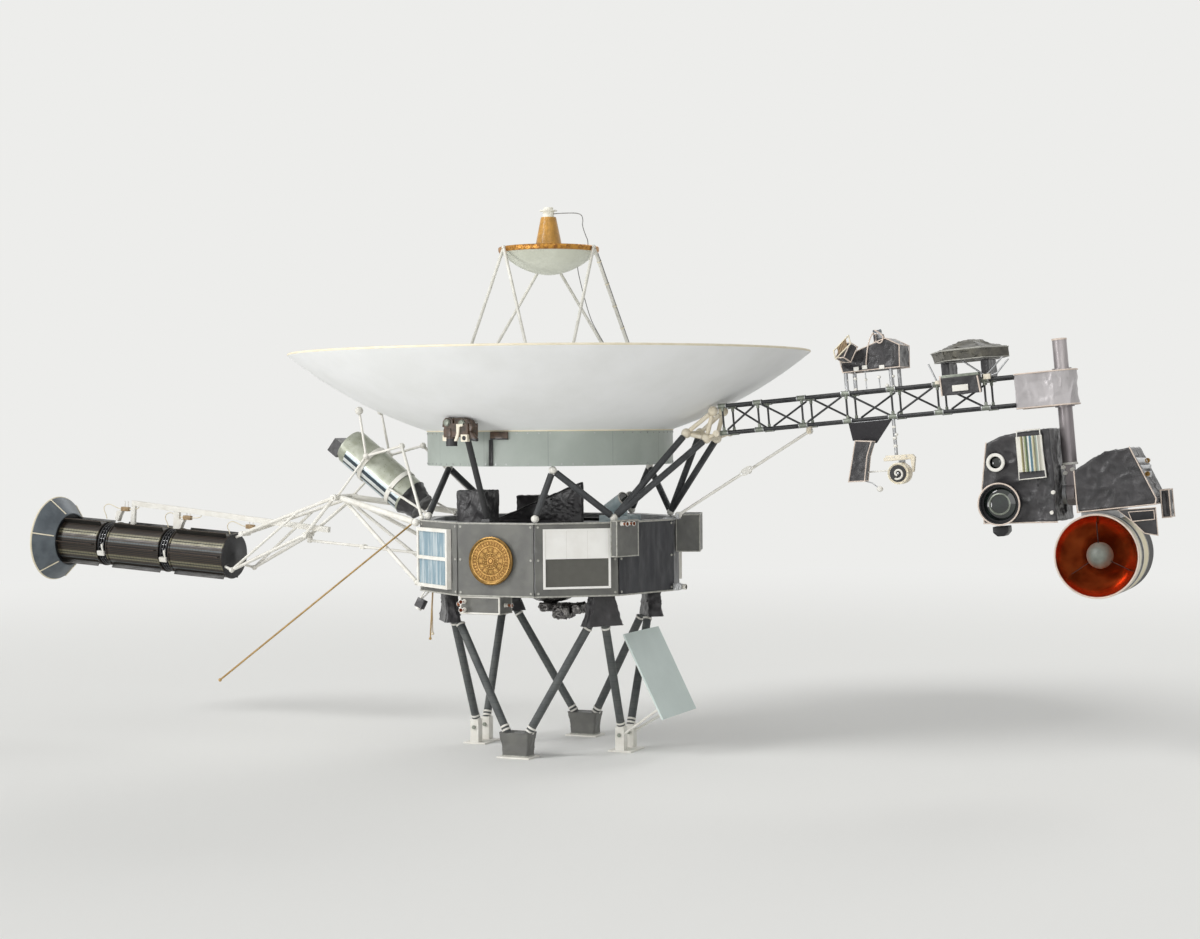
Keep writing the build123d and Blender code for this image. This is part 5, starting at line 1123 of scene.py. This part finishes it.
# Particle unit: black panel under the boom, cream arm with its bracket, turning head with a scroll
particle = sorted(solidsOf("particle_unit"), key=lambda solid: middleOf(solid).x)
panel, arm = particle[0], particle[-1]
dress("particle_unit", "particlePanelBlanket", [panel], boom, darkCloth,
      cell=11, round=7, hollow=6, reach=45, creaseSize=90, seed=14)
bind("particlePanelBindings", [panel], 4, binding, boom, inward=5)
dress("particle_unit", "particleArm", [arm], boom, creamCasting,
      cell=14, round=5, inset=1.5, hollow=0, crease=0.8, creaseSize=70, fine=0.3, seed=15)
bracket = [(1165, -250), (1345, -255), (1362, -275), (1345, -370), (1335, -372), (1330, -285), (1165, -280)]
slabs("particleArmBracket", [(boomFace(-116), bracket, 34)], creamCasting, boom, 3)
armBolts = [(onBoom(s, -151.5, -267), near) for s in (1185, 1225, 1265, 1305)]
setFittings("armBolts", armBolts, 5, 4, 6, anodised, boom)
front = onBoom(1250, -184, -373)


def roundHead(turn, radius, out):
    # on the head's face: degrees from the boom's direction, mm from its middle, mm proud
    return front + (alongBoom * cos(radians(turn)) + aboveBoom * sin(radians(turn))) * radius * mm + near * out * mm


scroll = [roundHead(250 - 15 * step, 12 + 1.05 * step, 8) for step in range(26)]
tubes("headScroll", [scroll], 7, whiteEnamel, "particle_detector", smooth=True, sides=12)
lathe("headFace", [(0, -2), (56, -2), (56, 2), (0, 2)], [(front, near)], brownPrimer, "particle_detector")
headRim = [(58, -6), (69, -6), (71, -1), (70, 5), (64, 6), (60, 2)]
lathe("headRim", headRim, [(front, near)], rimSealant, "particle_detector", 56)
boss = [(0, 0), (9, 0), (9, 8), (5, 11), (0, 11)]
lathe("headBoss", boss, [(front, near)], anodised, "particle_detector", 20)
headBolts = [(roundHead(turn, 64.5, 7), near) for turn in range(0, 360, 30)]
setFittings("headBolts", headBolts, 3, 3, 6, anodised, "particle_detector")
tubes("headFeedRod", [boomRun(-140, (1036, -348), (1172, -348))], 5, whiteEnamel, boom)
tubes("panelRod", [boomRun(-150, (1012, -404), (1060, -420), (1110, -462))], 4, anodised, boom)
beads("panelRodTip", boomRun(-150, (1110, -464)), 22, whiteEnamel, boom)
postBalls = boomRun(-102, (1226, -67), (1226, -141), (1238, -118), (1226, -192))
beads("standPostBalls", postBalls, 14, whiteEnamel, boom)
print("boom instruments dressed")

# Azimuth housing: shiny cloth with piping along its top and bottom, column with its rings
housing = solidsOf("azimuth_housing")
dress("azimuth_housing", "azimuthCloth", housing, boom, collarCloth,
      cell=13, round=8, hollow=9, reach=60, crease=16, creaseSize=150, pull=(1, 1, 0.5), seed=21)
columnAt = 2327  # mm along the boom
pipings = []
for h in (194, -25):
    bend = [onBoom(columnAt + 97 * cos(a), 97 * sin(a), h) for a in map(radians, range(-90, 91, 10))]
    pipings.append([onBoom(2038, -97, h)] + bend + [onBoom(2038, 97, h)])
tubes("azimuthPiping", pipings, 5, binding, boom)
columnCap = [(0, 0), (49, 0), (49, 9), (44, 12), (0, 12)]
lathe("columnCap", columnCap, [(onBoom(columnAt, 0, 388), aboveBoom)], binding, "platform_azimuth")
footRing = [(44, 0), (51.5, 0), (51.5, 10), (49, 15), (44, 15)]
lathe("columnFootRing", footRing, [(onBoom(columnAt, 0, -409), aboveBoom)], whiteEnamel, "platform_azimuth")
knob = [(0, 0), (13, 0), (13, 5), (9, 7), (9, 16), (12, 18), (12, 25), (0, 25)]
neckKnobs = [(place, near) for place in boomRun(-50, (2296, -423), (2305, -460), (2350, -440))]
lathe("neckConnectors", knob, neckKnobs, whiteEnamel, "platform_azimuth", 20)
print("azimuth drive dressed")


def onCameraFace(edge):
    # the left and lower edges of the camera housing's front
    a, b = (v.co for v in edge.verts)
    return max(a.y, b.y) < -0.2 and (max(a.z, b.z) < 1.72 or max(a.x, b.x) < 3.22)


def onSpectrometerFace(edge):
    # the left, lower and sloping edges of the spectrometer's front, and all of the small box beside it
    a, b = (v.co for v in edge.verts)
    inFrame = max(a.x, b.x) < 3.80 or max(a.z, b.z) < 1.80 or min(a.x, b.x) > 4.05
    return min(a.x, b.x) > 4.21 or (max(a.y, b.y) < -0.15 and inFrame)


# Cameras: deep folds over the housing, glass in both tubes, framed radiator
cameras = solidsOf("camera_housing")
bigFolds = {"cell": 14, "round": 18, "inset": 5, "hollow": 18, "reach": 80, "crease": 27, "creaseSize": 170, "fine": 2}
dress("camera_housing", "cameraBlanket", cameras, platform, darkCloth, **bigFolds, seed=31)
bind("cameraBindings", cameras, 4.5, binding, platform, inward=6, keep=onCameraFace)
narrow, wide = [(onBoom(1925, -276, -620), near)], [(onBoom(1921, -276, -356), near)]
lens = [(0, 0), (119, 0), (119, 4), (90, 17), (50, 26), (0, 29)]
lathe("narrowGlass", lens, narrow, opticGlass, platform, 64)
lathe("wideGlass", [(0, 0), (43, 0), (43, 3), (22, 9), (0, 11)], wide, opticGlass, platform, 40)
narrowRim = [(126, 50), (135.5, 50), (136, 56), (131, 58.5), (127, 57)]
lathe("narrowRim", narrowRim, narrow, binding, platform, 72)
lathe("narrowBaffles", [(104, 16), (120.5, 16), (120.5, 19), (106, 19)], narrow, blackAnodise, platform, 64)
lathe("narrowInnerRing", [(58, 26), (66, 24), (70, 30), (62, 33)], narrow, greenFitting, platform, 56)
wideRim = [(38, 20), (58.5, 20), (59, 32), (54, 36.5), (42, 36.5), (38, 32)]
lathe("wideRim", wideRim, wide, whiteEnamel, platform, 56)
frameRun = boomRun(-268, (2063, -169), (2209, -170), (2225, -473), (2055, -477))
tubes("radiatorFrame", [frameRun], 6, whiteEnamel, platform, closed=True)
under = [(1853, -762), (1952, -762), (1952, -800), (1926, -826), (1880, -826), (1853, -800)]
slabs("cameraUnderBox", [(boomFace(-140), under, 110)], blackAnodise, platform, 6)
cameraKnobs = [(place, near) for place in boomRun(-246, (2258, -573), (2240, -699))]
lathe("cameraConnectors", knob, cameraKnobs, whiteEnamel, platform, 20)

# Spectrometer: the cloth comes down in folds to a skirt beside the telescope
spectrometer = solidsOf("spectrometer_housing")
dress("spectrometer_housing", "spectrometerBlanket", spectrometer, platform, darkCloth, **bigFolds, seed=33)
bind("spectrometerBindings", spectrometer, 4.2, binding, platform, inward=6, keep=onSpectrometerFace)
skirt = [(2640, -716), (2872, -716), (2872, -890), (2790, -870), (2730, -800)]
slabs("spectrometerSkirt", [(boomFace(-190), skirt, 20)], darkCloth, platform, 5)
# a black plate stands for the slot in the skirt: painted shade
slot = [(2704, -732), (2860, -732), (2860, -788), (2722, -792)]
slabs("skirtSlotShade", [(boomFace(-209), slot, 4)], blackAnodise, platform, 1)
tubes("skirtBindings", [boomRun(-213, *skirt), boomRun(-214, *slot)], 4, binding, platform, closed=True)
optics = [(boomFace(-120), [(2766, -398), (2838, -408), (2846, -436), (2776, -432)], 70),
          (boomFace(-100), [(2776, -446), (2852, -450), (2848, -474), (2790, -472)], 84),
          (boomFace(-130), [(2796, -486), (2856, -490), (2850, -528), (2812, -524)], 50)]
slabs("spectrometerOptics", optics, anodised, platform, 5)
snouts = [(onBoom(2846, -184, -422), near), (onBoom(2838, -178, -505), near)]
snout = [(0, 0), (15, 0), (15, 22), (11, 22), (10, 4), (0, 4)]
lathe("spectrometerTubes", snout, snouts, goldPlate, platform, 24)


def onTelescope(y):
    # on the telescope's axis, facing out of its mouth
    return onBoom(2500, y, -990), near


# Telescope: cream rim, vanes and a grey dome before the copper mirror
mouth = [(254, 0), (264, 0), (265.5, 6), (262, 13), (256, 13), (253, 8)]
lathe("telescopeRim", mouth, [onTelescope(-290)], binding, platform, 96)
dome = [(0, -4), (78, -4), (83, 2), (83, 18), (79, 38), (69, 62), (52, 82), (28, 95), (0, 99)]
lathe("secondaryDome", dome, [onTelescope(-170)], secondaryPaint, platform, 64)
spider = frameAt(*onTelescope(-186), alongBoom)
vanes = [(spider @ Matrix.Rotation(radians(turn), 4, "Z"), oblong(176, 3, 164), 22) for turn in (90, 210, 330)]
slabs("secondaryVanes", vanes, blackAnodise, platform, 0.6)
band = [(262, 0), (265.5, 0), (265.5, 7), (262, 7)]
lathe("drumBands", band, [onTelescope(y) for y in (-205, -138, 44)], anodised, platform, 96)
print("scan platform dressed")

# Generators: flanges, rings and bolts at the joints, lugs, tan blocks and formed lines on top
generatorStarts = (933, 1507, 2081)  # mm along the boom
couplingStarts = (1417, 1991)


def onAxis(*places):
    return [(roundRtg(s, 0, 0), alongRtg) for s in places]


flange = [(160, 0), (171, 0), (173, 3), (173, 8), (169, 11), (160, 11)]
ends = onAxis(*(start + shift for start in generatorStarts for shift in (-1, 474)))
lathe("generatorFlanges", flange, ends, generatorPaint, rtg, 72)
ring = [(150, 0), (160, 0), (165, 3), (165, 11), (160, 14), (150, 14)]
ringSpots = onAxis(*(start + shift for start in couplingStarts for shift in (14, 38, 62)))
lathe("couplingRings", ring, ringSpots, blackAnodise, rtg, 72)
bolts = [(roundRtg(s, turn, 155.5), roundRtg(s, turn, 1) - roundRtg(s, turn, 0))
         for start in couplingStarts for s in (start + 33, start + 57) for turn in range(0, 360, 12)]
setFittings("couplingBolts", bolts, 3.6, 7, 6, anodised, rtg)
lugs = []
for s in (1462, 2036):
    for turn in (112, -60):
        way = roundRtg(s, turn, 2) - roundRtg(s, turn, 1)
        lugs.append((frameAt(roundRtg(s, turn, 150), way, alongRtg), oblong(62, 36), 30))
        lugs.append((frameAt(roundRtg(s - 14, turn - 16, 150), way, alongRtg), oblong(16, 60), 21))
terminals = [(800, -285), (1366, -262), (1940, -240)]  # mm along the boom and above it
for s, h in terminals[1:]:
    hook = [(s + 18, 17 - h), (s + 66, 17 - h), (s + 84, 84 - h), (s + 52, 100 - h), (s + 34, 48 - h)]
    lugs.append((rtgFace(-20), hook, 44))
slabs("generatorLugs", lugs, whiteEnamel, rtg, 3)
tanBlocks = [(rtgFace(-18), oblong(66, 32, s, -h), 36) for s, h in terminals]
slabs("terminalBlocks", tanBlocks, tanPhenolic, rtg, 3)
loops = [[(30, 0), (62, -2), (117, 19), (159, 30), (196, 12), (204, -20), (179, -54), (168, -88)],
         [(-30, 0), (-62, 3), (-117, 10), (-131, 32), (-110, 52)]]
lineRuns = [[onRtg(s + ds, 4, h + dh) for ds, dh in loop] for s, h in terminals for loop in loops]
tubes("generatorLines", lineRuns, 3.6, rimSealant, rtg, smooth=True)
hangers = [[onRtg(s + ds, 0, h + 8), onRtg(s + ds, 0, h + 62)] for s, h in terminals for ds in (-22, 8)]
tubes("terminalHangers", hangers, 3, whiteEnamel, rtg)
mountCover = [(0, 0), (40, 0), (44, 3), (150, 4), (168, 7), (170, 13), (0, 13)]
lathe("generatorMountCover", mountCover, onAxis(919), blackAnodise, rtg, 72)
lathe("shroudBaffle", [(164, 0), (204, 0), (206, 5), (164, 5)], onAxis(2450), blackAnodise, rtg, 72)
seams = [[roundRtg(start + 12, turn, 166.5), roundRtg(start + 472, turn, 166.5)]
         for start in generatorStarts for turn in range(-60, 241, 60)]
tubes("generatorSeams", seams, 2.6, blackAnodise, rtg, sides=4)
ribs = []
for turn in range(20, 380, 60):
    for places in (((2446, 215), (2564, 322), (2579, 322)), ((2462, 203), (2577, 309))):
        ribs.append([roundRtg(s, turn, radius) for s, radius in places])
tubes("shroudRibs", ribs, 5, rimSealant, rtg)
shroudRim = [roundRtg(2578, turn, 318) for turn in range(0, 360, 6)]
tubes("shroudRim", [shroudRim], 9, rimSealant, rtg, closed=True, sides=12)
hub = [(0, 2), (60, 2), (64, 6), (64, 12), (56, 14), (20, 16), (0, 16)]
lathe("shroudHub", hub, onAxis(2578), whiteEnamel, rtg)
print("generators detailed")

low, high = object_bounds()
